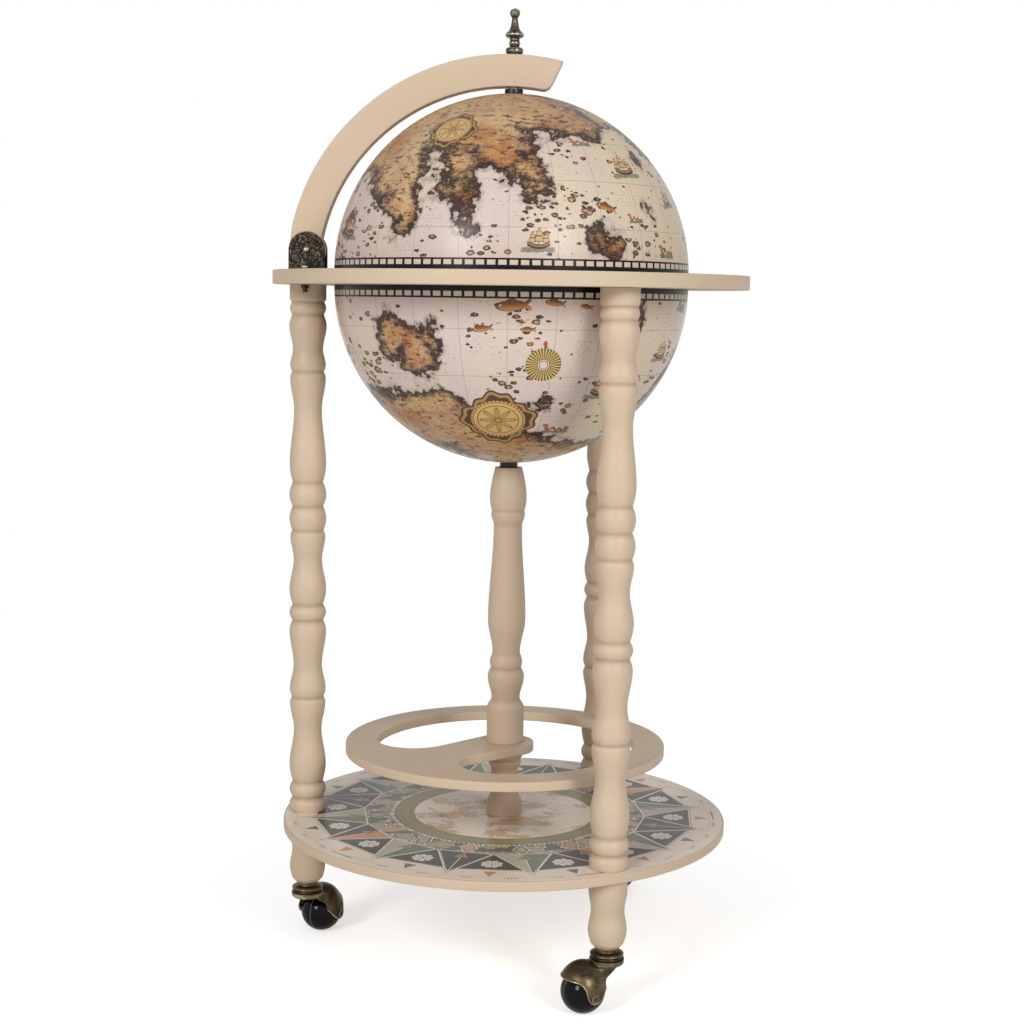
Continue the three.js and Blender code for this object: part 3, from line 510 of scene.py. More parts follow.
# Half of the axle's profile, with the domed rivet head at its end. The other half mirrors it.
rivet = np.array([
    [0.0, -24.5], [1.6, -24.48], [2.9, -24.38], [3.7, -24.1], [4.0, -23.6], [3.8, -23.3],
    [2.0, -23.3],
])
# The rivet head's rim is brightened, partly as worn brass and partly as painted highlight.
rivet_wear_and_highlight = np.array([0.0, 0.0, 0.1, 0.4, 0.1, 0.0, 0.0])
turned_brass = antique_brass("antique_brass_turned", 90.0, 0.7)
axle = turned(
    np.vstack([rivet, rivet[::-1] * [1.0, -1.0]]), 32,
    wear=np.concatenate([rivet_wear_and_highlight, rivet_wear_and_highlight[::-1]]),
)
axle = moved(axle, lay=True, shift=(CASTER_TRAIL, 0.0, BALL_RADIUS))
build_at_legs("caster_axle", axle, turned_brass, "antique_brass", "swivel")


def rounded(corners, reach, steps=5, closed=False):
    """A profile with each corner eased by a short curve. The curve leaves each leg at that reach
    from the corner, or at half the leg if it is shorter: p = (1-t)^2 a + 2t(1-t) corner + t^2 b."""
    corners = np.asarray(corners, float)
    reach = np.broadcast_to(np.asarray(reach, float), (len(corners),))
    t = np.linspace(0.0, 1.0, steps + 1)[:, None]
    out = []
    for i, corner in enumerate(corners):
        if not closed and i in (0, len(corners) - 1):
            out.append(corner[None])
            continue
        before, after = corners[i - 1] - corner, corners[(i + 1) % len(corners)] - corner
        length_before, length_after = np.linalg.norm(before), np.linalg.norm(after)
        a = corner + before / length_before * min(reach[i], length_before / 2.0)
        b = corner + after / length_after * min(reach[i], length_after / 2.0)
        out.append((1 - t) ** 2 * a + 2 * t * (1 - t) * corner + t**2 * b)
    points = np.concatenate(out)
    keep = np.concatenate([[True], np.linalg.norm(np.diff(points, axis=0), axis=1) > 1e-4])
    return points[keep]


COLLAR_UNDER, COLLAR_WEAR_AND_HIGHLIGHT_RADIUS = 49.0, 14.2
stem_profile = rounded([
    [0.0, 39.1], [7.0, 39.1], [7.0, 41.5], [5.0, 41.5], [5.0, 47.3], [13.0, 47.3], [14.5, 47.7],
    [14.5, 49.0], [13.2, 49.4], [13.2, 49.9], [15.2, 50.4], [15.2, 51.6], [12.8, 52.9], [9.8, 53.6],
    [9.5, 57.1], [4.5, 57.1], [4.5, 91.1], [0.0, 91.1],
], 0.45, 3)
# The collar's outer rim is brightened, partly as worn brass and partly as painted highlight.
stem_wear_and_highlight = np.clip((stem_profile[:, 0] - COLLAR_WEAR_AND_HIGHLIGHT_RADIUS) * 0.4, 0.0, 0.3)
stem_wear_and_highlight = stem_wear_and_highlight * (stem_profile[:, 1] > COLLAR_UNDER)
stem = turned(stem_profile, 64, wear=stem_wear_and_highlight)
build_at_legs("caster_stem", stem, turned_brass, "antique_brass")

# ---------------------------------------------------------------------------------------------
# Feet: turned from beech and painted cream over a filler coat. A brown tint in the grooves is
# painted shade. Each foot holds the caster's socket below and a threaded stud above.

FOOT_UNDER, FOOT_LENGTH, FOOT_RADIUS = 57.4, 63.3, 17.4
SOCKET_BORE, SOCKET_TOP, STUD_BORE, FOOT_STUD_END = 6.1, 91.7, 4.3, 94.7


def turned_side(shares, length, radius, bottom, step=1.2):
    """The side of a turned piece as [radius, height] rows, and a mark that is 1 in its grooves,
    where painted shade darkens the paint.
    shares lists (height share, radius share, kind). Between soft rows the side follows half a
    cosine wave, r = r0 + (r1 - r0)(1 - cos pi t) / 2, and next to a sharp row a quarter of a sine
    wave, so that it meets the sharp row at a corner. It closes on a round row like a circle,
    r = r1 + (r0 - r1) sqrt(1 - t^2). Corners are eased over a third of a millimetre."""
    fine, ease, reach, full_groove = 0.1, 0.32, 3.5, 0.9
    level = np.arange(0.0, length + fine / 2, fine)
    side = np.empty_like(level)
    for (h0, r0, kind0), (h1, r1, kind1) in zip(shares[:-1], shares[1:]):
        part = (level >= h0 * length - 1e-6) & (level <= h1 * length + 1e-6)
        t = np.clip((level[part] / length - h0) / (h1 - h0), 0.0, 1.0)
        if kind1 == "round":
            blend = 1.0 - np.sqrt(1.0 - t**2)
        elif kind0 == kind1:
            blend = t if kind0 == "sharp" else (1.0 - np.cos(np.pi * t)) / 2.0
        else:
            wave = np.pi * t / 2.0
            blend = np.sin(wave) if kind0 == "sharp" else 1.0 - np.cos(wave)
        side[part] = radius * (r0 + (r1 - r0) * blend)

    def blurred(values, width):
        """A running mean with weights exp(-(d / width)^2 / 2) over the distance d."""
        ends = int(3 * width / fine)
        weight = np.exp(-0.5 * (np.arange(-ends, ends + 1) * fine / width) ** 2)
        return np.convolve(np.pad(values, ends, mode="edge"), weight / weight.sum(), mode="valid")

    side = blurred(side, ease)
    groove = np.clip((blurred(side, reach) - side) / full_groove, 0.0, 1.0)
    corners = [h * length for h, _, kind in shares if kind == "sharp"]
    near = np.add.outer(corners, [-0.9, -0.45, 0.0, 0.45, 0.9]).ravel()
    rows = np.clip(np.concatenate([np.arange(0.0, length, step), near, [length]]), 0.0, length)
    rows = np.minimum(np.unique(np.round(rows / fine).astype(int)), len(level) - 1)
    return np.stack([side[rows], bottom + level[rows]], -1), groove[rows]


def spindle(shares, length, radius, bottom, below, above, sides, step=1.2):
    """A turned piece: its side between the profile rows of its lower and its upper hole."""
    side, groove = turned_side(shares, length, radius, bottom, step)
    grooves = np.pad(groove, (len(below), len(above)))
    return turned(np.vstack([below, side, above]), sides, groove=grooves)


def paint_group():
    """Cream paint: a slow change of tint, fine brush grain along Z, and a brown tint where the
    groove mark is high, painted shade in the grooves. Gives the colour, the roughness and the
    brush relief."""
    group, given = new_group("cream_paint", Groove="Float")
    slow = noise(group, given["Place"], 9.0, 3.0, 0.5)
    speck = noise(group, given["Place"], 240.0, 3.0, 0.6)
    brush = noise(group, given["Place"], 330.0, 3.0, 0.6, (1.0, 1.0, 0.16))
    colour = mixed(group, (slow - 0.3) * 0.9, (0.640, 0.502, 0.362), (0.585, 0.448, 0.312))
    colour = mixed(group, (speck - 0.62).above(0.16) * 0.10, colour, (0.42, 0.31, 0.22))
    # Painted shade: the grooves darkened towards brown by the groove mark.
    painted_groove_shade = Term(group, given["Groove"]) * 0.42
    colour = mixed(group, painted_groove_shade, colour, (0.30, 0.21, 0.14))
    roughness = slow * 0.12 + 0.33 + speck * 0.1
    return close_group(group, colour, roughness, brush * 0.7 + speck * 0.3)


paint = paint_group()


def painted_wood():
    """The paint over the groove mark of the piece that wears it, which darkens its grooves as
    painted shade.
    """
    material, tree, place = new_material("painted_wood_cream")
    coat = placed_group(tree, paint, Place=place, Groove=mark(tree, "groove"))
    return finish(
        material, coat["Color"], coat["Roughness"], coat["Height"], 0.00007, specular=0.35
    )


cream_paint = painted_wood()
foot_top = FOOT_UNDER + FOOT_LENGTH
foot = spindle(
    [
        (0.0, 0.66, "sharp"), (0.06, 0.86, "sharp"), (0.25, 1.0, "soft"), (0.532, 0.865, "soft"),
        (0.83, 1.0, "soft"), (1.0, 0.98, "sharp"),
    ],
    FOOT_LENGTH, FOOT_RADIUS, FOOT_UNDER,
    [[0.0, SOCKET_TOP], [SOCKET_BORE, SOCKET_TOP], [SOCKET_BORE, FOOT_UNDER]],
    [[STUD_BORE, foot_top], [STUD_BORE, FOOT_STUD_END], [0.0, FOOT_STUD_END]],
    72,
)
build_at_legs("foot", foot, cream_paint, "painted_wood")

# ---------------------------------------------------------------------------------------------
# Shelf: a round board with a printed paper under varnish on top and cream paint on its edge and
# underside. The legs stand on it over the feet, and the threaded rod passes through its middle.

SHELF_RADIUS, SHELF_UNDER, SHELF_TOP, ROD_BORE = 215.0, 121.0, 130.0, 4.3
STAR_POINTS, STAR_TURN = 16, 92.5 / 22.5
# The print's rings by their radius, from the marbled middle outwards.
MIDDLE_OUT, OLIVE_OUT, BEAD_CIRCLE, LOZENGE_CIRCLE, SCROLLS_OUT = 88.0, 106.5, 109.2, 123.0, 138.5


def board_profile(bore, radius, low, high, edge):
    """A round board's section, anticlockwise from the bore's lower edge, its outer edges eased. A
    small bore is a drilled hole for a rod and keeps a nearly sharp edge."""
    widest_drill, drilled_edge, margin = 20.0, 0.3, 1.5
    inner = edge if bore > widest_drill else drilled_edge
    start, end = bore + inner + margin, radius - edge - margin
    corners = [
        [bore, low], [start, low], [end, low], [radius, low],
        [radius, high], [end, high], [start, high], [bore, high],
    ]
    loop = rounded(corners, [inner, 0.1, 0.1, edge, edge, 0.1, 0.1, inner], 6, closed=True)
    return np.vstack([loop, loop[:1]])


class Layers:
    """A colour built up in layers. Each call lays a tint over it where all the shares are high."""

    def __init__(self, tree, colour):
        self.tree, self.colour = tree, colour

    def __call__(self, tint, *shares):
        """The tint mixed over the colour by the product of the shares."""
        self.colour = mixed(self.tree, both(*shares), self.colour, tint)


def both(*shares):
    """The product of several shares."""
    return math.prod(shares[1:], start=shares[0])


def length(x, y):
    """The distance from the middle: sqrt(x^2 + y^2)."""
    return (x * x + y * y).calc("SQRT")


def nth(number, count, which):
    """1 where a whole number leaves that remainder when divided by count."""
    share = (number / float(count)).calc("FRACT")
    return (0.3 / count - abs(share - (which + 0.02) / count)).above(0.1 / count)


def millimetres(tree, place):
    """The X, Y and Z of the object coordinates in millimetres."""
    split = tree.nodes.new("ShaderNodeSeparateXYZ")
    tree.links.new(place, split.inputs[0])
    return [Term(tree, output) * (1.0 / MM) for output in split.outputs]


def shelf_print():
    """A compass star of 16 points with rosette fields between them, round a marbled middle. In a
    sector X runs out along its middle and Y across it: X = r cos d, Y = r sin d, with d the angle
    from that middle. Below the flat top the board is painted cream."""
    material, tree, place = new_material("printed_shelf_top")
    x, y, z = millimetres(tree, place)
    radius = length(x, y)
    turn = y.calc("ARCTAN2", x) * (STAR_POINTS / (2.0 * math.pi)) + STAR_TURN

    def sector(shift):
        """X and Y within the sector that a point lies in, and that sector's number."""
        share = turn + shift
        angle = (share.calc("FRACT") - 0.5) * (2.0 * math.pi / STAR_POINTS)
        return radius * angle.calc("COSINE"), radius * angle.calc("SINE"), share.calc("FLOOR")

    slow, patch = noise(tree, place, 24.0, 3.0, 0.6), noise(tree, place, 75.0, 4.0, 0.6)
    fine, speck = noise(tree, place, 260.0, 4.0, 0.65), noise(tree, place, 800.0, 2.0, 0.6)
    ink, white, brown = (0.040, 0.038, 0.037), (0.90, 0.81, 0.69), (0.34, 0.15, 0.07)
    green, slate, orange = (0.115, 0.185, 0.100), (0.028, 0.036, 0.034), (0.64, 0.28, 0.09)
    # Middle: clouds in pinkish cream and ochre, their edges drawn in thin brown lines.
    cloud = Layers(tree, (0.97, 0.84, 0.71))
    cloud((0.88, 0.77, 0.68), ((slow - 0.46) * 7.0).held())
    ochre = noise(tree, place, 26.0, 5.0, 0.62, (1.0, 1.3, 1.0))
    folds = ((ochre * 60.0).calc("SINE") * 0.5 + 0.5) * 0.5
    drape = mixed(tree, folds, (0.72, 0.47, 0.22), (0.42, 0.18, 0.08))
    cloud(drape, ((ochre - 0.545) * 40.0).held() * 0.9)
    cloud((0.20, 0.12, 0.08), ((ochre - 0.64) * 30.0).held() * 0.85)
    lines = ochre.within(0.535, 0.547, 0.008)
    lines = lines + patch.within(0.495, 0.505, 0.008) * (slow - 0.5).above(0.05)
    cloud((0.16, 0.10, 0.07), (lines * 0.75).held())
    # Scroll zone: leafy patches in four colours with pale rims, under a ring of lozenges.
    leaves = noise(tree, place, 60.0, 2.0, 0.5)
    zone = Layers(tree, (0.10, 0.125, 0.095))
    zone((0.45, 0.39, 0.30), ((leaves - 0.5) * 12.0).held())
    zone((0.36, 0.19, 0.10), ((patch - 0.53) * 14.0).held() * 0.85)
    zone(white, leaves.within(0.485, 0.515, 0.012))
    paper = mixed(tree, ((patch - 0.4) * 1.6).held(), (0.90, 0.78, 0.66), (0.82, 0.69, 0.58))
    zone(paper, (radius - SCROLLS_OUT).above())
    lay = Layers(tree, zone.colour)
    along, across, number = sector(0.0)
    side = abs(across)
    lozenge = (side / 7.0 + abs(along - LOZENGE_CIRCLE) / 13.0) * -7.0 + 7.0
    lay(white, (lozenge + 1.6).above())
    lay(ink, (lozenge + 0.3).above())
    lay(orange, (lozenge - 0.3).above())
    lay(green, (lozenge - 0.3).above(), nth(number, 2, 0))
    lay((0.55, 0.44, 0.33), (lozenge - 2.6).above())

    def edged(shape, tint, *borders):
        """The shape in its tint, over borders that reach that many millimetres past it."""
        for grown, border in borders:
            lay(border, (shape + grown).above())
        lay(tint, shape.above())

    # Star points: each is folded along its middle, one half coloured and the other pale or dark.
    point = ((193.0 - along) * 0.42 - side) * 0.92
    point = point.calc("MINIMUM", along - 136.0)
    half = mixed(tree, nth(number, 4, 1), green, orange)
    half = mixed(tree, nth(number, 4, 3), half, slate)
    rest = mixed(tree, nth(number, 2, 1), (0.50, 0.46, 0.37), slate)
    fold = mixed(tree, across.above(0.3), rest, half)
    fold = mixed(tree, (0.45 - side).above(), fold, white)
    edged(point, fold, (2.0, ink), (1.5, white))
    barb = ((along - 138.0) * 0.5 - side).calc("MINIMUM", 151.0 - along)
    edged(barb, (0.50, 0.27, 0.13), (0.5, ink))
    lay(green, (barb - 2.0).above())
    # Rosette fields: a dark triangle between two points with a flower of eight petals in it.
    along, across, number = sector(0.5)
    side = abs(across)
    field = ((along - 138.0 - side / 0.68) * 0.56).calc("MINIMUM", 181.0 - along)
    edged(field, slate, (2.0, ink), (1.5, white))
    flower_x = along - 165.6
    flower = length(flower_x, across)
    petal = (across.calc("ARCTAN2", flower_x) * (4.0 / math.pi)).off_half()
    lay(white, (flower + petal.squared() * 9.0).within(4.3, 10.2), (0.44 - petal).above(0.06))
    lay((0.36, 0.38, 0.34), flower.within(6.2, 7.6), (0.14 - petal).above(0.06))
    lay(white, (3.4 - flower).above())
    lay((0.30, 0.14, 0.08), (1.6 - flower).above())
    dart = ((199.0 - along) * 0.48 - side).calc("MINIMUM", along - 187.5)
    edged(dart, mixed(tree, nth(number, 2, 0), green, orange), (0.4, ink))
    # Border: a thin ring, a scale of short strokes in groups, and some brown bars.
    lay((0.25, 0.19, 0.15), radius.within(201.4, 201.8) * 0.7)
    stroke = (0.22 - (turn * 26.0).off_half()).above(0.1)
    group = (0.15 - (turn * 2.0).off_half()).above(0.02)
    lay(ink, stroke, group, radius.within(203.6, 206.2) * 0.85)
    bar_turn = turn + 0.37
    bar = (0.17 - bar_turn.off_half()).above(0.02)
    lay(brown, nth(bar_turn.calc("FLOOR"), 3, 1), bar, radius.within(204.0, 205.6))
    # Rings round the middle: olive with darker lines, and a bead line outside them.
    olive = mixed(tree, fine, (0.34, 0.31, 0.145), (0.25, 0.23, 0.105))
    lay(olive, (OLIVE_OUT - radius).above())
    for low, high in ((87.6, 88.6), (91.4, 92.0), (100.6, 101.2), (105.7, 106.7)):
        lay((0.10, 0.085, 0.045), radius.within(low, high) * 0.8)
    bead = length((turn * 9.0).off_half() * 4.6, radius - BEAD_CIRCLE)
    lay(white, (1.5 - bead).above())
    lay(cloud.colour, (MIDDLE_OUT - radius).above())
    # Ageing: the print is a little faded and speckled all over.
    lay((0.62, 0.53, 0.44), slow * 0.14)
    lay((0.24, 0.19, 0.15), (speck - 0.60).above(0.12) * 0.22)
    printed = (z - (SHELF_TOP - 0.12)).above(0.08) * (SHELF_RADIUS - 1.4 - radius).above()
    coat = placed_group(tree, paint, Place=place)
    colour = mixed(tree, printed, coat["Color"], lay.colour)
    roughness = Term(tree, coat["Roughness"]) - printed * 0.12
    relief = Term(tree, coat["Height"]) * (1.0 - printed * 0.7)
    return finish(material, colour, roughness, relief, 0.00006, specular=0.4)


shelf = turned(board_profile(ROD_BORE, SHELF_RADIUS, SHELF_UNDER, SHELF_TOP, 1.2), 180)
build("shelf_board", [shelf], shelf_print(), "stand", "printed_shelf")

# ---------------------------------------------------------------------------------------------
# Legs: long spindles turned from one beech blank each and painted like the feet. A stud joins each
# to the shelf and foot, and a dowel joins it to the ring.

LEG_UNDER, LEG_LENGTH, LEG_RADIUS = 130.3, 511.7, 17.75
LEG_STUD_END, DOWEL_BORE, DOWEL_END = 156.3, 5.3, 620.0
leg_top = LEG_UNDER + LEG_LENGTH
leg = spindle(
    [
        (0.0, 0.96, "sharp"), (0.011, 1.0, "soft"), (0.0252, 0.83, "sharp"), (0.0405, 1.0, "soft"),
        (0.0555, 0.83, "sharp"), (0.0899, 1.0, "soft"), (0.1575, 0.76, "soft"),
        (0.2103, 0.97, "soft"), (0.22, 0.86, "sharp"), (0.2357, 0.98, "soft"),
        (0.2822, 0.775, "soft"), (0.3481, 1.0, "soft"), (0.3684, 0.83, "sharp"),
        (0.3833, 1.0, "soft"), (0.3983, 0.83, "sharp"), (0.428, 1.0, "soft"),
        (0.4847, 0.77, "soft"), (0.5286, 0.95, "soft"), (0.54, 0.85, "sharp"),
        (0.5628, 1.0, "soft"), (0.5857, 0.83, "sharp"), (0.6086, 1.0, "soft"),
        (0.6312, 0.82, "sharp"), (0.6652, 0.985, "soft"), (0.7688, 0.75, "soft"),
        (0.8268, 0.96, "soft"), (0.8391, 0.85, "sharp"), (0.8512, 0.96, "soft"),
        (0.8809, 0.81, "soft"), (0.9237, 1.0, "soft"), (0.9452, 0.85, "sharp"),
        (0.9572, 0.97, "soft"), (0.9683, 0.87, "sharp"), (0.9738, 0.98, "soft"),
        (1.0, 0.98, "sharp"),
    ],
    LEG_LENGTH, LEG_RADIUS, LEG_UNDER,
    [[0.0, LEG_STUD_END], [STUD_BORE, LEG_STUD_END], [STUD_BORE, LEG_UNDER]],
    [[DOWEL_BORE, leg_top], [DOWEL_BORE, DOWEL_END], [0.0, DOWEL_END]],
    64,
)
build_at_legs("leg", leg, cream_paint, "painted_wood")

# ---------------------------------------------------------------------------------------------
# Centre post: two turned spindles threaded on one steel rod, painted like the legs, with the bottle
# ring clamped between them.

# For each part its length, radius, lower end and profile.
post_parts = {
    "post_lower": (62.4, 17.6, 130.3, [
        (0.0, 0.99, "sharp"), (0.14, 0.98, "soft"), (0.43, 0.66, "soft"), (0.71, 0.75, "soft"),
        (0.765, 0.8, "sharp"), (0.815, 0.91, "soft"), (0.87, 0.85, "sharp"), (0.93, 0.99, "soft"),
        (1.0, 0.99, "sharp"),
    ]),
    "post_upper": (268.5, 18.2, 202.3, [
        (0.0, 0.99, "sharp"), (0.125, 0.99, "soft"), (0.1625, 0.755, "soft"), (0.185, 0.8, "sharp"),
        (0.2405, 0.97, "soft"), (0.2703, 0.81, "sharp"), (0.2963, 0.865, "soft"),
        (0.3297, 0.735, "soft"), (0.4487, 1.0, "soft"), (0.7892, 0.75, "soft"),
        (0.8316, 0.895, "soft"), (0.8428, 0.86, "sharp"), (0.8874, 0.975, "soft"),
        (1.0, 0.71, "sharp"),
    ]),
}
for name, (post_length, radius, bottom, shares) in post_parts.items():
    start, end = [ROD_BORE, bottom], [ROD_BORE, bottom + post_length]
    post = spindle(shares, post_length, radius, bottom, [start], [end, start], 72, 1.0)
    build(name, [post], cream_paint, "stand", "painted_wood")

# ---------------------------------------------------------------------------------------------
# Bottle ring: sawn from board, rounded over with a router and painted. The rim is round, and one
# S-shaped arm reaches from it to the hub on the post.


def arc(x, y, radius, start, end, step=1.0):
    """Points along an arc, angles in degrees."""
    count = max(3, int(abs(math.radians(end - start)) * radius / step) + 1)
    angles = np.radians(np.linspace(start, end, count))
    return np.stack([x + radius * np.cos(angles), y + radius * np.sin(angles)], -1)


def eased(loop, step=1.0, soften=1.2):
    """The closed loop sampled at even steps, its corners softened by a running mean with weights
    exp(-(d / soften)^2 / 2) over the distance d along the loop."""
    loop = np.vstack([loop, loop[:1]])
    run = np.concatenate([[0.0], np.cumsum(np.linalg.norm(np.diff(loop, axis=0), axis=1))])
    count = max(24, int(run[-1] / step))
    spots = np.linspace(0.0, run[-1], count, endpoint=False)
    points = np.stack([np.interp(spots, run, loop[:, d]) for d in (0, 1)], -1)
    pace = run[-1] / count
    reach = int(3 * soften / pace) + 1
    steps = np.arange(-reach, reach + 1)
    weight = np.exp(-0.5 * (steps * pace / soften) ** 2)
    return sum(w * np.roll(points, k, axis=0) for k, w in zip(steps, weight / weight.sum()))


def board(loops, low, high, edge, steps=6):
    """A flat board between two levels. The first loop is its outline, anticlockwise, and the others
    are its holes, clockwise. The edges are quarter rounds: inset = e(1 - sin a) and
    rise = e(1 - cos a). A row just inside each rounding keeps the faces flat, and the faces are
    filled with triangles."""
    flat_row = edge + 0.4
    a = np.linspace(0.0, np.pi / 2, steps + 1)
    inset, rise = edge * (1 - np.sin(a)), edge * (1 - np.cos(a))
    inset = np.concatenate([[flat_row], inset, inset[::-1], [flat_row]])
    level = np.concatenate([[low], low + rise, high - rise[::-1], [high]])
    points, quads, below, above, count = [], [], [], [], 0
    for loop in loops:
        ahead = np.roll(loop, -1, axis=0) - np.roll(loop, 1, axis=0)
        ahead /= np.linalg.norm(ahead, axis=1)[:, None]
        inward = np.stack([-ahead[:, 1], ahead[:, 0]], -1)
        rows = loop + inset[:, None, None] * inward
        heights = np.broadcast_to(level[:, None, None], (*rows.shape[:2], 1))
        form = sheet_of(np.concatenate([rows, heights], -1), wrap=True)
        points.append(form["points"])
        quads.append(form["faces"] + count)
        below.append(count + np.arange(len(loop)))
        above.append(below[-1] + len(loop) * (len(level) - 1))
        count += len(form["points"])
    points = np.concatenate(points)
    caps = [[Vector((x, y, 0.0)) for x, y in points[row, :2]] for row in below]
    below, above = np.concatenate(below), np.concatenate(above)
    filled = np.array(tessellate_polygon(caps))
    corner = points[below][filled][..., :2]
    u, v = corner[:, 1] - corner[:, 0], corner[:, 2] - corner[:, 0]
    turned_over = (u[:, 0] * v[:, 1] - u[:, 1] * v[:, 0]) < 0
    filled[turned_over] = filled[turned_over][:, ::-1]
    tris = np.concatenate([above[filled], below[filled[:, ::-1]]])
    return {"points": points, "faces": np.concatenate(quads), "tris": tris}


RING_RADIUS, RING_BORE, RING_UNDER, RING_TOP = 155.3, 125.0, 193.0, 202.0
hub_radius, left_pocket, front_pocket, front_angle = 28.0, 36.0, 38.0, -91.5
left_reach, front_reach = RING_BORE - left_pocket, RING_BORE - front_pocket
# The straight edges touch hub and pocket: sin(lean) = (hub radius + pocket radius) / distance.
left_touch = 90.0 + math.degrees(math.asin((hub_radius + left_pocket) / left_reach))
front_lean = math.degrees(math.asin((hub_radius + front_pocket) / front_reach))
front_touch = front_angle + 90.0 - front_lean
front_x = front_reach * math.cos(math.radians(front_angle))
front_y = front_reach * math.sin(math.radians(front_angle))
opening = np.concatenate([
    arc(0.0, 0.0, RING_BORE, 180.0, front_angle),
    arc(front_x, front_y, front_pocket, front_angle, front_touch - 180.0),
    arc(0.0, 0.0, hub_radius, front_touch, left_touch),
    arc(-left_reach, 0.0, left_pocket, left_touch - 180.0, -180.0),
])
ring_rim = eased(arc(0.0, 0.0, RING_RADIUS, 0.0, 359.7))
bottle_ring = board([ring_rim, eased(opening)], RING_UNDER, RING_TOP, 0.9)
build("bottle_ring", [bottle_ring], cream_paint, "stand", "painted_wood")

# ---------------------------------------------------------------------------------------------
# Horizon ring: a flat ring sawn from board, with rounded edges, painted all over and glued on the
# dowels of the three legs.

HORIZON_TOP, HORIZON_UNDER, HORIZON_BORE, HORIZON_RADIUS = 655.3, 642.3, 172.0, 225.0
horizon = board_profile(HORIZON_BORE, HORIZON_RADIUS, HORIZON_UNDER, HORIZON_TOP, 1.0)
build("horizon_ring", [turned(horizon, 240)], cream_paint, "stand", "painted_wood")

# ---------------------------------------------------------------------------------------------
# Bushes: satin black plastic spacers, moulded in one piece each and threaded on the rods. One holds
# the globe off the post below it, and the other holds it off the arm above it.

GLOBE_RADIUS, SHELL_INNER, POLE_FLAT = 167.5, 164.0, 14.0
LOWER_CENTRE, UPPER_CENTRE = 643.1, 654.5
BUSH_RADIUS, BUSH_HEIGHT, SEAT_GAP = 8.6, 4.8, 0.3


def clouded(name, grain, detail, rough, tints, gloss, depth, **plain):
    """A finish of one noise: it runs between two tints, and roughness = share of noise + least."""
    material, tree, place = new_material(name)
    cloud = noise(tree, place, grain, detail, rough)
    share, least = gloss
    colour = mixed(tree, cloud, *tints)
    return finish(material, colour, cloud * share + least, cloud, depth, **plain)


# Moulded black plastic, a little paler on high grains.
black_plastic = clouded(
    "satin_black_plastic", 700.0, 3.0, 0.6, ((0.012, 0.011, 0.010), (0.021, 0.0195, 0.018)),
    (0.12, 0.24), 0.00004, specular=0.35,
)
pole_height = math.sqrt(GLOBE_RADIUS**2 - POLE_FLAT**2)
for name, low, body in (
    ("lower_bush", LOWER_CENTRE - pole_height - SEAT_GAP - BUSH_HEIGHT, "stand"),
    ("upper_bush", UPPER_CENTRE + pole_height + SEAT_GAP, "lid"),
):
    high = low + BUSH_HEIGHT
    corners = [[ROD_BORE, low], [BUSH_RADIUS, low], [BUSH_RADIUS, high], [ROD_BORE, high]]
    loop = rounded(corners, [0.2, 0.35, 0.35, 0.2], 5, closed=True)
    bush = turned(np.vstack([loop, loop[:1]]), 64)
    build(name, [bush], black_plastic, body, "black_plastic")

# ---------------------------------------------------------------------------------------------
# Globe: two pressed board shells covered with printed gores under gloss varnish, cream inside. A
# black band with a row of cream squares runs along each rim. The print is a made-up old map: land
# grown from round patches, islands, a net of meridians, and small sea ornaments.

SPLIT = 648.8
BAND_HALF, BLOCK_COUNT, BLOCK_LOW, BLOCK_HIGH = 17.3, 108, 11.4, 15.7
NET_DEGREES, NET_HALF = 15.0, 0.24
GLOBE_COLUMNS = 600
# Land patches: longitude from the front, latitude and angular radius, in degrees.
land_patches = np.array([
    (-64, 60, 21), (-34, 69, 19), (-4, 63, 14), (-80, 43, 12), (-52, 44, 14), (-43, 33, 10),
    (-38, 23, 7), (-35, 15, 3.5), (-17, 49, 11), (-3, 42, 9), (5, 34, 6.5), (9, 27, 4),
    (18, 62, 12), (31, 55, 7), (39, 50, 4.5), (-20, 36, 5), (-17, 28, 4.2), (-15, 20, 3.6),
    (-13, 13, 2.6), (29, 13, 4), (34, 10, 3), (66, 62, 10), (78, 50, 8), (52, 22, 3),
    (-40, -18, 8), (-32, -24, 6.5), (-26, -17, 4.5), (-62, -50, 13), (-42, -50, 13),
    (-22, -54, 14), (-30, -42, 7), (4, -66, 14), (26, -76, 15), (60, -70, 12), (80, -42, 11),
    (86, -26, 8), (-88, -14, 7), (-96, 20, 13), (-110, 38, 17), (-120, 12, 14), (-128, -12, 11),
    (-124, -30, 7), (-150, 52, 14), (-168, 38, 12), (172, 55, 13), (150, 30, 13), (138, 10, 10),
    (132, -10, 8), (146, -34, 12), (128, -50, 9), (110, 44, 10), (100, 8, 5), (-160, -20, 10),
    (-172, -36, 8), (168, -8, 4), (180, -74, 16), (-100, -72, 14), (112, -22, 5), (-146, 20, 5),
    (100, 64, 9), (-66, 16, 3), (58, 40, 2.5), (14, -40, 3), (44, -10, 3.2), (-68, -38, 3.2),
    (-4, 78, 10), (120, 78, 12), (-120, 76, 12),
])
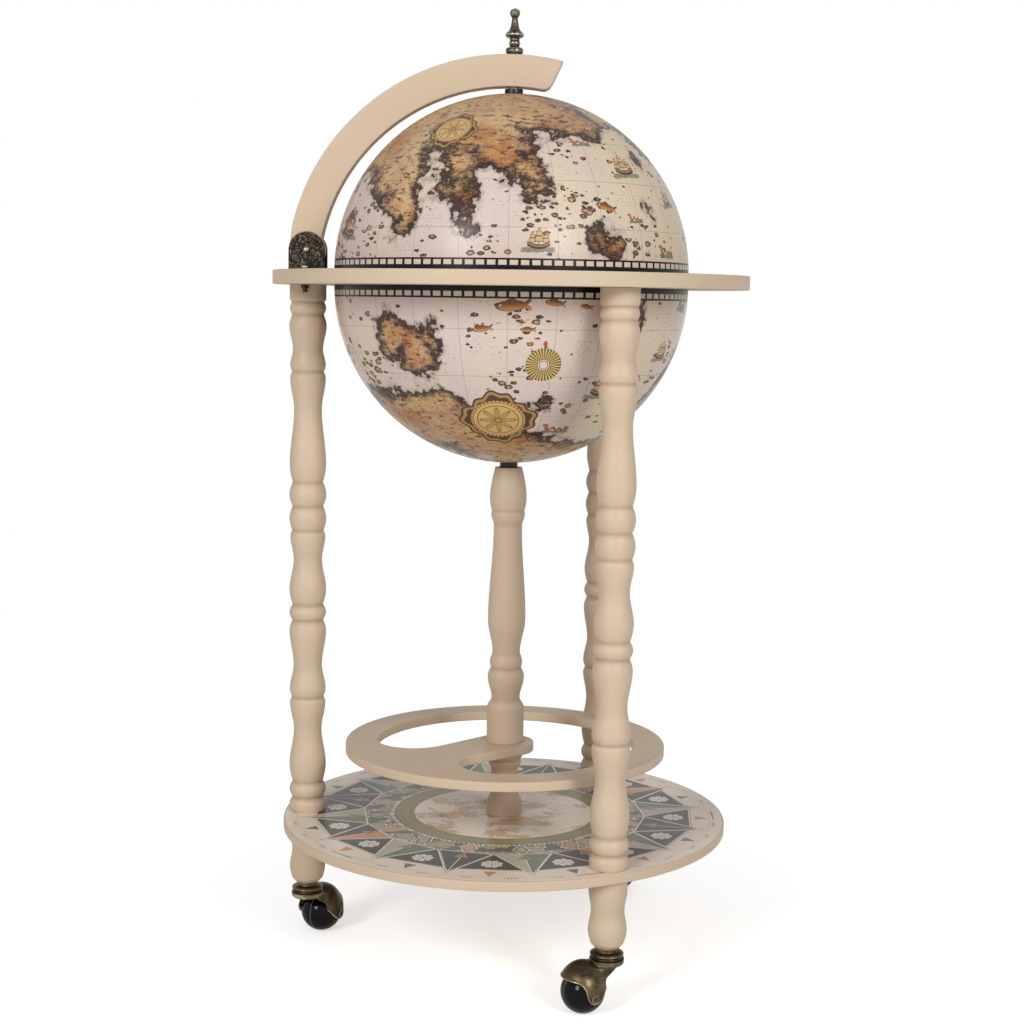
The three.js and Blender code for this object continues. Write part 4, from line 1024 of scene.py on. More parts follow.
# Sea ornaments: longitude, latitude, kind, scale and tilt, and the reach of each kind in mm.
ORNAMENT_KINDS = {
    "wind_rose": 23.0, "ship": 17.5, "fish": 14.5, "round_frame": 22.0, "serpent": 14.0,
}
ROSE, SHIP, FISH, FRAME, SERPENT = range(5)
ornaments = np.array([
    (12, -26, ROSE, 1.0, 0), (46, 36, SHIP, 1.35, 4), (-63, 15, SHIP, 1.2, -4),
    (9, 11, SHIP, 1.15, 0), (37, -34, SHIP, 1.4, 3), (1, -8, FISH, 1.35, 4),
    (14, -7, FISH, 0.8, -6), (-8, -15, FISH, 0.8, 8), (6, -15, FISH, 0.6, 0),
    (24, -8, FISH, 0.55, -8), (-28, 50, FRAME, 1.2, -6), (-4, -47, FRAME, 1.7, 2),
    (58, 8, SERPENT, 1.1, 0), (24, -52, SERPENT, 1.2, 0), (67, 26, SHIP, 1.0, 6),
    (-112, -50, SHIP, 1.3, 0), (-178, 8, ROSE, 1.0, 0), (124, 62, FRAME, 1.0, 0),
    (94, -48, FISH, 1.3, 12), (-150, -50, FISH, 1.2, -8), (84, 24, FISH, 1.2, 0),
    (-92, -38, FISH, 1.0, 10), (160, -60, SHIP, 1.3, 0), (118, 26, FISH, 0.9, 0),
    (-140, 0, SHIP, 1.2, 6), (-76, -24, FISH, 0.9, 0), (72, -6, SHIP, 1.2, -6),
    (32, 22, FISH, 0.9, -14), (-76, -40, SERPENT, 1.1, 0), (30, 44, SERPENT, 0.9, 0),
    (44, 18, SERPENT, 0.8, 0), (-48, 4, SERPENT, 0.8, 0), (62, -22, SHIP, 1.1, 4),
    (-150, 26, SERPENT, 1.2, 0), (104, -10, SERPENT, 1.0, 0), (-100, -10, SHIP, 1.0, 0),
])


def heading(lon, lat):
    """Unit vectors of longitudes and latitudes in degrees, and the unit vectors to their east:
    (cos lat sin lon, -cos lat cos lon, sin lat) and (cos lon, sin lon, 0)."""
    lon, lat = np.radians(lon), np.radians(lat)
    out = np.stack([np.cos(lat) * np.sin(lon), -np.cos(lat) * np.cos(lon), np.sin(lat)], -1)
    return out, np.stack([np.cos(lon), np.sin(lon), np.zeros(len(lon))], -1)


def map_marks(points):
    """For each point, the signed distance to the coast in mm, negative on land, the local place in
    mm about the nearest ornament, and which kind of ornament it lies in. The coast is a soft
    minimum over all patches of R (angle to the patch - its radius): -k log(sum(exp(-d / k)))."""
    ray = points - np.array([0.0, 0.0, SPLIT])
    ray /= np.linalg.norm(ray, axis=1)[:, None]
    soft = 7.0

    def away(spot):
        """The angle between every point and every spot, arccos(point . spot)."""
        return np.arccos(np.clip(ray @ spot.T, -1.0, 1.0))

    patch, _ = heading(land_patches[:, 0], land_patches[:, 1])
    gap = GLOBE_RADIUS * (away(patch) - np.radians(land_patches[:, 2]))
    coast = -soft * np.log(np.sum(np.exp(-np.clip(gap, -200.0, 400.0) / soft), axis=1))
    lon, lat, kind, size, tilt = ornaments.T
    spot, east = heading(lon, lat)
    north = np.cross(spot, east)
    tilt = np.radians(tilt)[:, None]
    right = east * np.cos(tilt) + north * np.sin(tilt)
    up = north * np.cos(tilt) - east * np.sin(tilt)
    reach = np.array(list(ORNAMENT_KINDS.values()))[kind.astype(int)] * size
    near = GLOBE_RADIUS * away(spot) - reach
    which = np.argmin(near, axis=1)
    scale = GLOBE_RADIUS / size[which]
    u = np.einsum("ij,ij->i", ray, right[which]) * scale
    v = np.einsum("ij,ij->i", ray, up[which]) * scale
    marks = {"coast": np.clip(coast, -60.0, 60.0), "ornament_u": u, "ornament_v": v}
    inside = near[np.arange(len(ray)), which] < 0.0
    for number, name in enumerate(ORNAMENT_KINDS):
        marks[name] = (inside & (kind[which] == number)).astype(float)
    return marks


def globe_shell(centre, facing):
    """One half: the outer skin, the straight rim and the inner skin as one closed turned solid.
    facing is 1 for the upper half and -1 for the lower."""
    outer_rows, inner_rows = ((122, 22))
    washer_radius, rim_height, skin_limit = 12.8, 5.4, 165.8

    def skin(radius, rows):
        """The flat round the rod's hole, then a quarter circle from the pole to the rim."""
        angle = np.linspace(math.asin(POLE_FLAT / radius), np.pi / 2, rows)
        pole = math.sqrt(radius**2 - POLE_FLAT**2)
        arc_rows = np.stack([radius * np.sin(angle), radius * np.cos(angle)], -1)
        return np.vstack([[[ROD_BORE, pole], [washer_radius, pole]], arc_rows])

    rim = rounded([
        [GLOBE_RADIUS, 0.0], [GLOBE_RADIUS, -rim_height], [SHELL_INNER, -rim_height],
        [SHELL_INNER, 0.0],
    ], 0.6, 3)[1:-1]
    loop = np.vstack([skin(GLOBE_RADIUS, outer_rows), rim, skin(SHELL_INNER, inner_rows)[::-1]])
    loop = np.vstack([loop, loop[:1]]) * [1.0, facing] + [0.0, centre]
    form = turned(loop if facing < 0 else loop[::-1], GLOBE_COLUMNS)
    form.update(map_marks(form["points"]))
    from_centre = np.linalg.norm(form["points"] - [0.0, 0.0, centre], axis=1)
    form["inner"] = (from_centre < skin_limit).astype(float)
    return form


def draw_ornaments(tree, place, lay):
    """The sea ornaments, laid over the sea and land colour. u and v are the local place in mm."""
    u, v = mark(tree, "ornament_u"), mark(tree, "ornament_v")
    radius = length(u, v)
    angle = v.calc("ARCTAN2", u)
    rose, ship, fish, frame_kind, serpent = (
        (mark(tree, name) - 0.5).above(0.2) for name in ORNAMENT_KINDS
    )
    ink, dark, red = (0.045, 0.028, 0.02), (0.10, 0.045, 0.02), (0.5, 0.06, 0.03)
    gold, pale_gold = (0.60, 0.43, 0.16), (0.66, 0.44, 0.17)
    # Wind rose: 32 gold petals, each |f - 1/2| < 0.30 of its share of the turn, round a pale disc.
    petal = (angle * (32.0 / (2 * math.pi))).off_half()
    tip = (angle * 32.0).calc("COSINE") * -0.9 + 15.0
    lay((0.07, 0.045, 0.02), rose, radius.within(5.2, 15.6))
    lay(gold, rose, (0.30 - petal).above(0.1), (tip - radius).above(), (radius - 5.6).above())
    lay((0.70, 0.60, 0.48), rose, (5.6 - radius).above())
    lay(ink, rose, radius.within(3.4, 4.0) + radius.within(5.1, 5.6))
    lay((0.42, 0.09, 0.03), rose, (2.2 - (abs(u) + abs(v - 19.6) * 0.55)).above())
    # Ship: a hull between two parabolas, bellied sails on three masts, and green water below.
    swell = noise(tree, place, 320.0, 4.0, 0.65) - 0.5
    level = (v + swell * 4.0).within(-8.4, -4.9, 0.8)
    lay((0.13, 0.17, 0.12), ship, level, (12.5 - abs(u) + swell * 8.0).above(1.6) * 0.8)
    for mast, reach, low, high in (
        (-5.0, 2.3, -1.2, 5.0), (0.0, 2.8, -0.8, 7.6), (5.0, 2.2, -1.0, 4.6),
    ):
        lay(ink, ship, u.within(mast - 0.25, mast + 0.25), v.within(-3.0, high + 2.0))
        for start, end, narrowed in ((0.06, 0.5, 1.0), (0.58, 0.96, 0.72)):
            bottom, top = low + (high - low) * start, low + (high - low) * end
            width = reach * narrowed
            belly = u - mast - 0.7 + (v - (bottom + top) / 2).squared() * 0.16
            for tint, grown in ((ink, 0.3), ((0.62, 0.42, 0.20), -0.1)):
                across = belly.within(-width - grown, width + grown)
                lay(tint, ship, across, v.within(bottom - grown, top + grown))
        lay(red, ship, u.within(mast, mast + 1.9), v.within(high + 1.1, high + 2.1))
    keel = v + 6.2 - u.squared() * 0.035
    hull = both(ship, keel.within(0.0, 3.6), (8.6 - abs(u)).above())
    lay(dark, hull)
    lay((0.55, 0.33, 0.12), hull, keel.within(1.9, 2.6))
    # Fish: an oval body, a forked tail and a fin, orange below and darker on the back.
    body = u.squared() * (1 / 81.0) + v.squared() * (1 / 10.0)
    fork = (u * 0.62 - abs(v) - 3.7).above() * (abs(v) * 1.2 - u + 10.6).above()
    fork = fork * u.within(7.4, 13.0)
    fin = u.within(-4.0, 4.5) * v.within(2.2, 4.5) * (5.2 - (abs(u - 0.5) * 0.5 + v)).above()
    scales = ((u * 5.2).calc("SINE") * (v * 5.2).calc("SINE") * 0.5 + 0.5) * 0.35
    shade = (v * 0.28 + 0.45 + scales).held()
    flank = mixed(tree, shade, (0.62, 0.25, 0.07), (0.19, 0.085, 0.04))
    for tint, limit in (((0.09, 0.04, 0.02), 1.25), (flank, 1.0)):
        lay(tint, fish, ((limit - body).above(0.12) + fork + fin).calc("MINIMUM", 1.0))
    eye = 0.3 - ((u + 6.6).squared() + (v - 0.6).squared())
    lay((0.9, 0.8, 0.6), fish, eye.above(0.2))
    # Serpent: three loops that rise from green water, v = |sin(0.55 u)| with a height that falls
    # towards the tail, and a head on a raised neck.
    level = (v + swell * 3.0).within(-2.6, 0.3, 0.7)
    lay((0.11, 0.17, 0.11), serpent, level, (10.5 - abs(u) + swell * 7.0).above(1.4) * 0.85)
    loops = abs((u * 0.55).calc("SINE")) * (u * -0.22 + 3.2)
    neck = (u + (v - 3.0) * 0.35).within(-9.4, -7.4) * v.within(0.0, 6.4)
    jaw = (2.2 - ((u + 9.8).squared() * 0.4 + (v - 6.6).squared())).above(0.4)
    for tint, grown in (((0.10, 0.05, 0.03), 1.3), ((0.44, 0.13, 0.05), 0.585)):
        back = (v - loops).within(-grown, grown) * (v - 0.1).above() * u.within(-7.8, 9.5)
        lay(tint, serpent, (neck + jaw + back).calc("MINIMUM", 1.0))
    # Round frame: a scrolled dark frame, a gold bead ring and a parchment field with a rosette.
    scroll = (angle * 12.0).calc("SINE") * 0.9 + (angle * 4.0).calc("COSINE") * 1.6
    lay((0.10, 0.06, 0.035), frame_kind, (scroll + 18.6 - radius).above())
    lay((0.42, 0.25, 0.10), frame_kind, (radius - scroll).within(15.6, 17.4))
    lay((0.30, 0.10, 0.045), frame_kind, (14.2 - radius).above())
    lay(pale_gold, frame_kind, (12.6 - radius).above())
    beads = (0.3 - (angle * (40.0 / (2 * math.pi))).off_half()).above(0.15)
    lay((0.66, 0.5, 0.26), frame_kind, beads, radius.within(13.0, 13.9))
    leaf = (angle * 8.0).calc("COSINE") * 3.0 + 6.2
    lay(ink, frame_kind, (radius - leaf).within(-0.35, 0.35))
    lay((0.50, 0.30, 0.12), frame_kind, (leaf - radius - 0.5).above())
    lay(ink, frame_kind, radius.within(10.4, 10.8) + radius.within(1.6, 2.1))


def islands(tree, place, lon, lat, middle, fine):
    """Distance to the nearest island's shore in mm, negative inside: ragged blots about random
    points, dropped where the cluster noise is low and kept off the mainland."""
    crowd = (-lon - 0.8).above(0.25) * (lat + 0.5).above(0.2) * 0.045
    cluster = noise(tree, place, 24.0, 2.0) + crowd
    lean = tree.nodes.new("ShaderNodeMapping")
    lean.inputs["Rotation"].default_value = (0.4, 0.7, 0.3)
    lean.inputs["Scale"].default_value = (1.0, 1.0, 1.7)
    tree.links.new(place, lean.inputs["Vector"])
    blots = tree.nodes.new("ShaderNodeTexVoronoi")
    blots.inputs["Scale"].default_value = 120.0
    tree.links.new(lean.outputs[0], blots.inputs["Vector"])
    tone = tree.nodes.new("ShaderNodeSeparateColor")
    tree.links.new(blots.outputs["Color"], tone.inputs[0])
    size = Term(tree, tone.outputs[0]).squared() * 4.2 - 0.7 + (cluster - 0.525) * 15.0
    isle = Term(tree, blots.outputs["Distance"]) * 7.5 - size.calc("MINIMUM", 4.0)
    isle = isle + (fine - 0.5) * 3.4 + (middle - 0.5) * 4.2
    return isle.calc("MAXIMUM", (mark(tree, "coast") - 2.0) * -0.6)


def globe_print():
    """The map and its bands, and plain cream where the inner mark is 1."""
    material, tree, place = new_material("printed_globe_map")
    x, y, z = millimetres(tree, place)
    z = z - SPLIT
    plan = length(x, y)
    lon, lat = x.calc("ARCTAN2", -y), z.calc("ARCTAN2", plan)
    coarse, middle = noise(tree, place, 46.0, 2.0), noise(tree, place, 170.0, 3.0, 0.6)
    fine = noise(tree, place, 620.0, 3.0, 0.7)
    ragged = mark(tree, "coast") + (coarse - 0.5) * 36.0 + (middle - 0.5) * 17.0
    ragged = ragged + (fine - 0.5) * 6.0
    isle = islands(tree, place, lon, lat, middle, fine)
    shore = ragged.calc("MINIMUM", isle * 1.6)
    line_ink = (0.12, 0.08, 0.07)
    # Sea: pinkish and yellowish cream in drifting zones, darker grey along the coasts.
    zones = noise(tree, place, 7.0, 2.0)
    sea = Layers(tree, (0.70, 0.58, 0.535))
    sea((0.76, 0.64, 0.455), ((zones - 0.5) * 5.0 + (lon - 0.62).above(0.12) * 0.9 + 0.1).held())
    sea((0.46, 0.34, 0.27), ((fine - 0.35) * 0.9).held())
    sea((0.74, 0.64, 0.55), ((middle - 0.5) * 2.0).held() * 0.35)
    sea((0.30, 0.22, 0.19), (ragged * -0.22 + 1.0).held() * 0.35)
    # Coast hatching: level strokes a millimetre apart that fade out 5 mm from the shore.
    comb = (lat * GLOBE_RADIUS + (middle - 0.5) * 2.0).off_half()
    fading = (ragged * -0.2 + 1.0 + (fine - 0.5) * 2.4).held()
    sea(line_ink, (0.2 - comb).above(0.12), fading * 0.6)
    # Land: tan to orange with inked hills, and a dark streaky border on its inner side.
    hills = noise(tree, place, 120.0, 5.0, 0.72, (1.0, 1.0, 3.0))
    slopes = noise(tree, place, 34.0, 3.0, 0.6)
    land = Layers(tree, (0.57, 0.345, 0.150))
    land((0.42, 0.160, 0.050), ((slopes - 0.42) * 4.5).held())
    land((0.74, 0.555, 0.345), ((zones - 0.5) * 5.0 + 0.2).held() * 0.5)
    land((0.060, 0.032, 0.022), ((hills - 0.53) * 12.0).held() * 0.95)
    river = (0.007 - abs(noise(tree, place, 62.0, 4.0, 0.6) - 0.5)).above(0.006)
    land((0.66, 0.54, 0.44), river, (ragged * 0.06 + 1.5).held() * 0.7)
    border = (ragged * 0.105 + 1.45 + (fine - 0.5) * 1.6 + (hills - 0.5) * 2.2).held()
    isle_border = (isle * 1.1 + 1.9 + (fine - 0.5) * 3.0).above(1.6)
    mainland = (-ragged).above(0.5)
    land((0.036, 0.021, 0.023), (border * mainland + isle_border * (1.0 - mainland)) * 0.94)
    lay = Layers(tree, sea.colour)
    lay(land.colour, (-shore).above(0.5))
    # Sea strokes: rows of short wavy lines, shown in patches.
    row = lat * (GLOBE_RADIUS / 3.1)
    along = lon * (GLOBE_RADIUS / 6.0) + row.calc("FLOOR") * 0.37
    wave = abs(row.calc("FRACT") - 0.5 + (along * 12.0).calc("SINE") * 0.09)
    dash = (0.24 - along.off_half()).above(0.06) * (0.075 - wave).above(0.06)
    patches = (noise(tree, place, 30.0, 1.0) - 0.56).above(0.02) * (shore - 7.0).above(2.0)
    lay(line_ink, dash, patches * 0.6)
    # Net: meridians and parallels every 15 degrees, R cos(lat) |lon - n 15 deg| < half a line.
    step = math.radians(NET_DEGREES)
    meridian = (lon * (1 / step) + 0.5).off_half() * plan * step
    parallel = (lat * (1 / step) + 0.5).off_half() * (GLOBE_RADIUS * step)
    net = (NET_HALF - meridian.calc("MINIMUM", parallel)).above(0.3)
    lay((0.11, 0.08, 0.075), net * 0.5)
    draw_ornaments(tree, place, lay)
    # Bands: black, with a row of cream blocks round each rim, by height from the split.
    height = abs(z)
    lay((0.006, 0.005, 0.008), (BAND_HALF - height).above(0.2))
    block = (0.37 - (lon * (BLOCK_COUNT / (2 * math.pi))).off_half()).above(0.05)
    lay((0.68, 0.58, 0.46), block, height.within(BLOCK_LOW, BLOCK_HIGH, 0.3))
    inside = (mark(tree, "inner") - 0.5).above(0.1)
    lay((0.60, 0.485, 0.37), inside)
    roughness = fine * 0.06 + 0.24 + inside * 0.3
    return finish(material, lay.colour, roughness, fine, 0.000004, specular=0.2)


map_print = globe_print()
for name, centre, facing in (("lower", LOWER_CENTRE, -1.0), ("upper", UPPER_CENTRE, 1.0)):
    shell = globe_shell(centre, facing)
    build(f"{name}_hemisphere", [shell], map_print, f"{name}_globe", "printed_shell", smooth=40.0)

# ---------------------------------------------------------------------------------------------
# Bottle rack: a plywood disc with three bottle holes that drops into the lower half and rests where
# the shell narrows. Its edges are sanded round and it is varnished, not painted.

RACK_RADIUS, RACK_UNDER, RACK_TOP = 151.2, 580.6, 586.6
BOTTLE_CIRCLE, BOTTLE_HOLE = 95.0, 43.0


def plain_wood():
    """Pale varnished beech: rings stretched along X, with fine pores."""
    material, tree, place = new_material("varnished_beech")
    rings = noise(tree, place, 26.0, 4.0, 0.6, (0.12, 1.0, 1.0))
    pores = noise(tree, place, 700.0, 2.0, 0.6, (0.05, 1.0, 1.0))
    colour = mixed(tree, ((rings - 0.35) * 2.2).held(), (0.60, 0.40, 0.22), (0.44, 0.26, 0.125))
    colour = mixed(tree, (pores - 0.6).above(0.1) * 0.3, colour, (0.25, 0.13, 0.06))
    return finish(material, colour, rings * 0.2 + 0.34, rings * 0.5 + pores * 0.5, 0.00005)


beech = plain_wood()
rack_loops = [eased(arc(0.0, 0.0, RACK_RADIUS, 0.0, 359.7), 1.5)]
for way in np.radians([90.0, 210.0, 330.0]):
    x, y = BOTTLE_CIRCLE * math.cos(way), BOTTLE_CIRCLE * math.sin(way)
    rack_loops.append(eased(arc(x, y, BOTTLE_HOLE, 359.0, 0.0), 1.5))
rack = board(rack_loops, RACK_UNDER, RACK_TOP, 1.2, 4)
build("bottle_rack", [rack], beech, "lower_globe", "plain_wood")

# ---------------------------------------------------------------------------------------------
# Hinge: two pressed steel plates with a dark hammered finish, each an upright with a round top and
# a round tab bolted through the ring, and a pin with a bright domed head through plates and arm.

HINGE_X, PIN_LEVEL = -193.5, 674.8
ARM_HALF, PLATE = 10.0, 2.0
PLATE_IN = ARM_HALF + 0.3
PLATE_HALF_WIDTH, PLATE_FOOT, PLATE_EDGE, TAB_RADIUS, TAB_MIDDLE = 17.15, 655.6, 0.7, 8.5, 12.2
FRONT_AND_REAR = (("front", -1.0), ("rear", 1.0))


def hammered_steel():
    """Dark brown-black with brass-coloured specks rubbed through, pale painted glints on the
    brightest specks, and shallow hammer dimples.
    """
    material, tree, place = new_material("hammered_plate")
    dents = tree.nodes.new("ShaderNodeTexVoronoi")
    dents.feature = "SMOOTH_F1"
    dents.inputs["Scale"].default_value = 300.0
    tree.links.new(place, dents.inputs["Vector"])
    dent = Term(tree, dents.outputs["Distance"])
    rub, speck = noise(tree, place, 150.0, 4.0, 0.7), noise(tree, place, 1100.0, 2.0, 0.7)
    shown = ((rub - 0.5) * 2.0 + (speck - 0.50) * 5.0).held()
    # Painted glints: pale specks standing in for light caught on the hammered face.
    painted_glint = ((speck - 0.58) * 9.0 + (rub - 0.5) * 2.0).held()
    colour = mixed(tree, shown, (0.012, 0.008, 0.005), (0.17, 0.118, 0.070))
    colour = mixed(tree, painted_glint, colour, (0.32, 0.29, 0.23))
    relief = dent * 0.5 + speck * 0.3
    return finish(material, colour, rub * 0.2 + 0.26, relief, 0.0003, metallic=0.8, strength=0.6)


def tongue(half_width, foot, middle):
    """A straight-sided loop with a half-round end, eased."""
    ends = [[-half_width, foot], [half_width, foot]]
    return eased(np.vstack([ends, arc(0.0, middle, half_width, 0.0, 180.0)]), 0.7, 0.5)


plate_steel = hammered_steel()
for name, facing in FRONT_AND_REAR:
    upright = tongue(PLATE_HALF_WIDTH, PLATE_FOOT, PIN_LEVEL)
    upright = board([upright], -PLATE / 2, PLATE / 2, PLATE_EDGE, 4)
    upright = moved(upright, lay=True, shift=(HINGE_X, facing * (PLATE_IN + PLATE / 2), 0.0))
    tab = tongue(TAB_RADIUS, 0.0, TAB_MIDDLE)
    tab = board([tab], PLATE_FOOT, PLATE_FOOT + PLATE, PLATE_EDGE, 4)
    turn = 0.0 if facing > 0 else 180.0
    tab = moved(tab, turn=turn, shift=(HINGE_X, facing * PLATE_IN, 0.0))
    build(
        f"hinge_plate_{name}", [upright, tab], plate_steel, "stand", "antique_brass", weld=False
    )

# Polished brass with light tarnish clouds.
pin_brass = clouded(
    "bright_pin_brass", 140.0, 4.0, 0.6, ((0.26, 0.21, 0.13), (0.50, 0.44, 0.32)),
    (0.2, 0.2), 0.00005, metallic=1.0,
)
PIN_RADIUS, PIN_HEAD_RADIUS, PIN_HEAD_RISE = 2.9, 3.4, 2.6
shoulder = PLATE_IN + PLATE + 0.3
pin_end = shoulder + 1.5
quarter = np.linspace(0.0, np.pi / 2, 9)
pin_rows = np.vstack([
    np.stack([PIN_HEAD_RADIUS * np.sin(quarter), -shoulder - PIN_HEAD_RISE * np.cos(quarter)], -1),
    [[PIN_RADIUS, -shoulder], [PIN_RADIUS, pin_end], [0.0, pin_end]],
])
cap_rows = rounded([
    [0.0, shoulder + 1.8], [3.3, shoulder + 1.8], [3.3, shoulder], [5.2, shoulder],
    [5.0, shoulder + 3.2], [3.2, shoulder + 4.6], [0.0, shoulder + 4.8],
], 0.7, 4)
for name, rows in (("hinge_pin", pin_rows), ("hinge_pin_cap", cap_rows)):
    piece = moved(turned(rows, 48), turn=180.0, shift=(HINGE_X, 0.0, PIN_LEVEL), lay=True)
    build(name, [piece], pin_brass, "stand", "antique_brass")

BOLT_RADIUS, BOLT_END, BOLT_OUT = 2.4, 634.8, 10.2
BOLT_HEAD, BOLT_HEAD_RADIUS, BOLT_HEAD_EDGE, BOLT_HEAD_RISE = 657.9, 4.0, 0.3, 2.3
bolt_rows = np.vstack([
    [[0.0, BOLT_END], [BOLT_RADIUS - 0.5, BOLT_END], [BOLT_RADIUS, BOLT_END + 0.6]],
    [[BOLT_RADIUS, BOLT_HEAD], [BOLT_HEAD_RADIUS, BOLT_HEAD]],
    np.stack([
        BOLT_HEAD_RADIUS * np.cos(quarter),
        BOLT_HEAD + BOLT_HEAD_EDGE + BOLT_HEAD_RISE * np.sin(quarter),
    ], -1),
])
# The bolt's head is brightened, partly as worn brass and partly as painted highlight.
bolt_wear_and_highlight = bolt_rows[:, 1] > BOLT_HEAD
bolt_brass = antique_brass("antique_brass_bolt", 90.0, 0.3)
for name, facing in FRONT_AND_REAR:
    place = (HINGE_X, facing * (PLATE_IN + PLATE + BOLT_OUT), 0.0)
    bolt = moved(turned(bolt_rows, 48, wear=bolt_wear_and_highlight), shift=place)
    build(f"bracket_bolt_{name}", [bolt], bolt_brass, "stand", "antique_brass")

# ---------------------------------------------------------------------------------------------
# Meridian arm: one curved piece sawn from thick board, its edges rounded over, painted cream. Its
# foot is a round eye on the hinge pin, and its free end stops a little past the globe's pole.

ARM_X, ARM_OUTER, ARM_INNER, EYE = -4.0, 209.3, 179.5, 16.6
OUTER_END, INNER_END, HEEL, NOSE_SHARE, EYE_SHORT = 76.2, 80.2, math.radians(78.2), 0.32, 5.5
pin_way = math.atan2(PIN_LEVEL - SPLIT, HINGE_X - ARM_X)
pin_reach = math.hypot(PIN_LEVEL - SPLIT, HINGE_X - ARM_X)
# The eye meets the inner edge where cos(angle) = (inner^2 + reach^2 - eye^2) / (2 inner reach).
meet = pin_way - math.acos(
    (ARM_INNER**2 + pin_reach**2 - EYE**2) / (2.0 * ARM_INNER * pin_reach)
)
meet_x = ARM_X + ARM_INNER * math.cos(meet) - HINGE_X
meet_z = SPLIT + ARM_INNER * math.sin(meet) - PIN_LEVEL
eye_end = 360.0 + math.degrees(math.atan2(meet_z, meet_x))
inner_edge = arc(ARM_X, SPLIT, ARM_INNER, math.degrees(meet), INNER_END)
outer_edge = arc(ARM_X, SPLIT, ARM_OUTER, OUTER_END, math.degrees(pin_way) - EYE_SHORT)
# The free end's lower corner is one curve from the inner edge over the heel to the nose.
heel = np.array([ARM_X + ARM_INNER * math.cos(HEEL), SPLIT + ARM_INNER * math.sin(HEEL)])
nose = heel + NOSE_SHARE * (outer_edge[0] - heel)
t = np.linspace(0.0, 1.0, 9)[1:, None]
arm_loop = np.vstack([
    outer_edge,
    arc(HINGE_X, PIN_LEVEL, EYE, 180.0, eye_end),
    inner_edge[1:],
    (1 - t) ** 2 * inner_edge[-1] + 2 * t * (1 - t) * heel + t**2 * nose,
])
arm = moved(board([eased(arm_loop, 0.9, 0.6)], -ARM_HALF, ARM_HALF, 1.0), lay=True)
build("meridian_arm", [arm], cream_paint, "lid", "painted_wood")

# ---------------------------------------------------------------------------------------------
# Finial: turned brass with a dark antique finish, its ridges brightened partly as worn brass and
# partly as painted highlight, screwed on the rod that comes up through the arm.

FINIAL_FOOT, FINIAL_HEIGHT, FINIAL_RADIUS = 858.4, 42.5, 9.0
THREAD_BORE, THREAD_END = 2.3, 870.4
finial_shares = [
    (0.0, 0.78, "sharp"), (0.085, 0.92, "soft"), (0.142, 0.86, "sharp"), (0.175, 0.46, "sharp"),
    (0.255, 0.60, "soft"), (0.30, 0.47, "sharp"), (0.325, 0.53, "soft"), (0.352, 0.47, "sharp"),
    (0.37, 0.82, "sharp"), (0.43, 0.98, "soft"), (0.484, 0.78, "sharp"), (0.523, 0.58, "sharp"),
    (0.602, 0.43, "sharp"), (0.68, 0.36, "sharp"), (0.79, 0.29, "sharp"), (0.898, 0.54, "soft"),
    (1.0, 0.0, "round"),
]
finial_side, _ = turned_side(finial_shares, FINIAL_HEIGHT, FINIAL_RADIUS, FINIAL_FOOT, 0.5)
finial_rows = np.vstack([
    [[0.0, THREAD_END], [THREAD_BORE, THREAD_END], [THREAD_BORE, FINIAL_FOOT]], finial_side,
    [[0.0, finial_side[-1, 1]]],
])
# Ridges brightened, partly as worn brass and partly as painted highlight.
ridge = -np.gradient(np.gradient(finial_side[:, 0]))
finial = turned(finial_rows, 64, wear=np.pad(np.clip(ridge * 6.0, 0.0, 0.8), (3, 1)))
finial_brass = antique_brass("antique_brass_finial", 130.0, 0.0, depth=0.00004)
build("finial", [finial], finial_brass, "lid", "antique_brass")

# ---------------------------------------------------------------------------------------------
# Fasteners: plated steel rods, washers, nuts, studs and sockets, and beech dowels. Nearly all of
# them are hidden inside other pieces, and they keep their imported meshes.

# Zinc-plated steel with faint clouding.
steel = clouded(
    "zinc_plated_steel", 160.0, 4.0, 0.65, ((0.40, 0.40, 0.39), (0.60, 0.60, 0.58)),
    (0.25, 0.22), 0.00004, metallic=1.0,
)
inner_parts = {
    steel: [
        "post_rod", "post_under_washer", "post_under_nut", "lower_inner_washer", "lower_inner_nut",
        "arm_rod", "upper_inner_washer", "upper_inner_nut",
        *[f"{kind}_{side}" for kind in ("leg_stud", "caster_socket") for side in LEGS],
    ],
    plate_steel: [
        f"bracket_{kind}_{name}" for kind in ("washer", "nut") for name, _ in FRONT_AND_REAR
    ],
    beech: [f"ring_dowel_{side}" for side in LEGS],
}
for surface, nodes in inner_parts.items():
    for node in nodes:
        for slot in bpy.data.objects[node].material_slots:
            slot.material = surface

# ---------------------------------------------------------------------------------------------
# Studio: a pale floor that fades to white, a soft box high in front on each side, and white
# surroundings for what the camera and the glossy surfaces see.


def plainly_seen(tree, glossy):
    """1 for what the camera sees, straight or through glass, and that share for reflections."""
    path = tree.nodes.new("ShaderNodeLightPath").outputs
    glints = Term(tree, path["Is Glossy Ray"]) * glossy
    seen = Term(tree, path["Is Camera Ray"]).calc("MAXIMUM", glints)
    return seen.calc("MAXIMUM", Term(tree, path["Is Transmission Ray"]))


def mix_shaders(tree, share, under, over, out):
    """Two shaders mixed by that share and sent to the output."""
    mix = tree.nodes.new("ShaderNodeMixShader")
    for socket, value in zip(mix.inputs, (share, under.outputs[0], over.outputs[0])):
        attach(tree, value, socket)
    tree.links.new(mix.outputs[0], out.inputs[0])


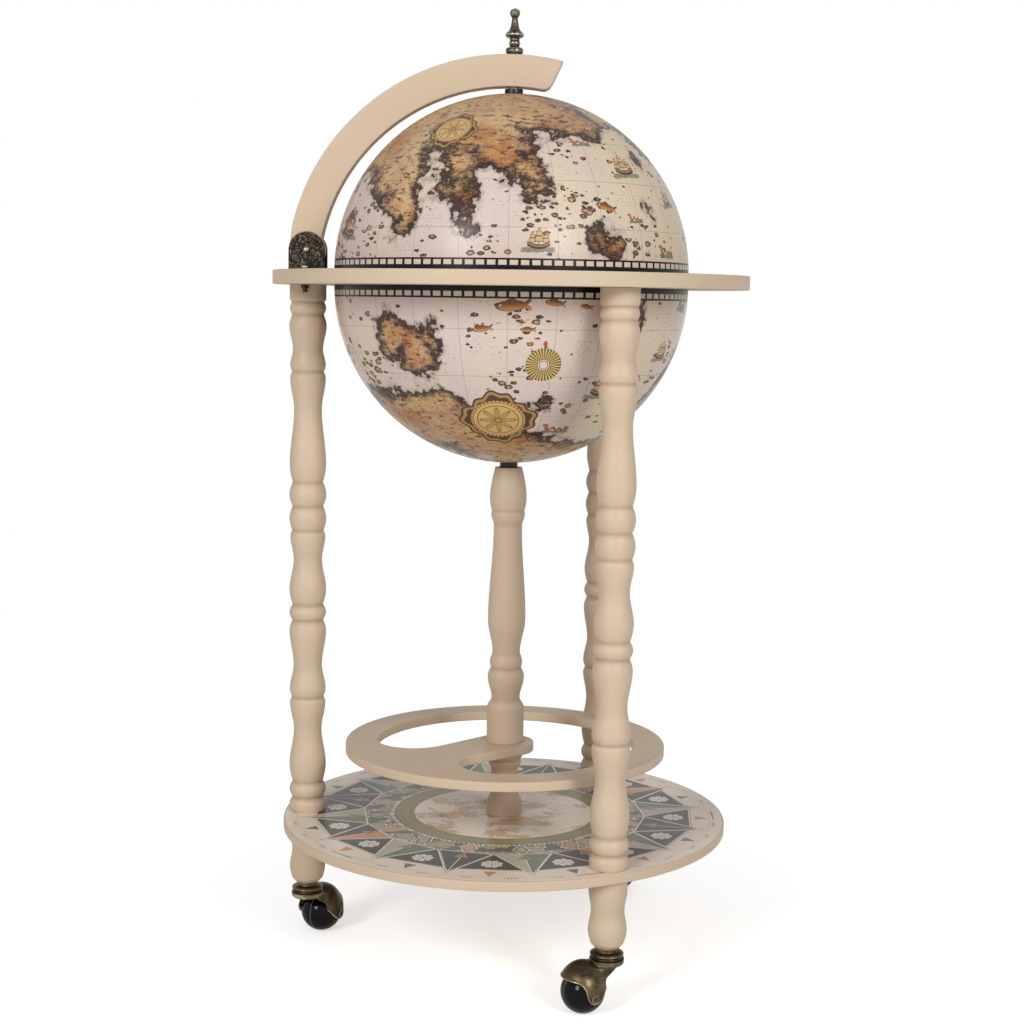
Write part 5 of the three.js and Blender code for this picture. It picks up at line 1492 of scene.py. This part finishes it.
def studio_floor():
    """White board. What the camera and glossy surfaces see of it turns into plain white away from
    the bar, so that no horizon shows; it lights the bar only as a plain board does."""
    material, tree, place = new_material("studio_floor")
    seen = plainly_seen(tree, 0.25)
    away = tree.nodes.new("ShaderNodeVectorMath")
    away.operation = "LENGTH"
    tree.links.new(place, away.inputs[0])
    away = Term(tree, away.outputs["Value"])
    board_shader = tree.nodes["finish"]
    sockets = {
        "Base Color": (0.93, 0.93, 0.93), "Roughness": 0.9, "Specular IOR Level": 0.1,
        "Emission Color": (1.0, 1.0, 1.0), "Emission Strength": (away * 0.3 + 0.5) * seen,
    }
    for name, value in sockets.items():
        attach(tree, value, board_shader.inputs[name])
    out = next(node for node in tree.nodes if node.type == "OUTPUT_MATERIAL")
    white = tree.nodes.new("ShaderNodeEmission")
    mix_shaders(tree, ((away - 0.4) * 1.6).held() * seen, board_shader, white, out)
    return material


spread = np.concatenate([np.linspace(0.0, 1.5, 16), [3.0, 8.0, 20.0]]) / MM
floor_form = turned(np.stack([spread, np.zeros_like(spread)], -1)[::-1], 64)
floor_mesh = bpy.data.meshes.new("studio_floor")
floor_mesh.from_pydata((floor_form["points"] * MM).tolist(), [], floor_form["faces"].tolist())
floor_mesh.materials.append(studio_floor())
floor = bpy.data.objects.new("studio_floor", floor_mesh)
bpy.context.scene.collection.objects.link(floor)

# Each soft box: its name, its place in metres and its power in watts. Both face the bar's middle.
LAMP_WIDTH, LAMP_HEIGHT, LAMP_AIM = 0.9, 1.1, (0.0, 0.0, 0.5)
for name, place, power in (
    ("left_light", (-1.65, -2.75, 1.75), 48.0), ("right_light", (1.7, -2.7, 1.75), 46.0),
):
    lamp_data = bpy.data.lights.new(name, "AREA")
    lamp_data.shape, lamp_data.size, lamp_data.size_y = "RECTANGLE", LAMP_WIDTH, LAMP_HEIGHT
    lamp_data.energy = power
    lamp = bpy.data.objects.new(name, lamp_data)
    bpy.context.scene.collection.objects.link(lamp)
    lamp.location = place
    toward = Vector(LAMP_AIM) - Vector(place)
    lamp.rotation_euler = toward.to_track_quat("-Z", "Y").to_euler()

world = bpy.data.worlds.new("studio_world")
bpy.context.scene.world = world
world.use_nodes = True
tree = world.node_tree
tree.nodes.clear()
soft, plain = tree.nodes.new("ShaderNodeBackground"), tree.nodes.new("ShaderNodeBackground")
for light, tint, strength in ((soft, (1.0, 0.985, 0.97), 0.26), (plain, (1.0, 1.0, 1.0), 1.0)):
    attach(tree, tint, light.inputs["Color"])
    attach(tree, strength, light.inputs["Strength"])
mix_shaders(tree, plainly_seen(tree, 0.6), soft, plain, tree.nodes.new("ShaderNodeOutputWorld"))
bpy.context.scene.view_settings.view_transform = "Standard"
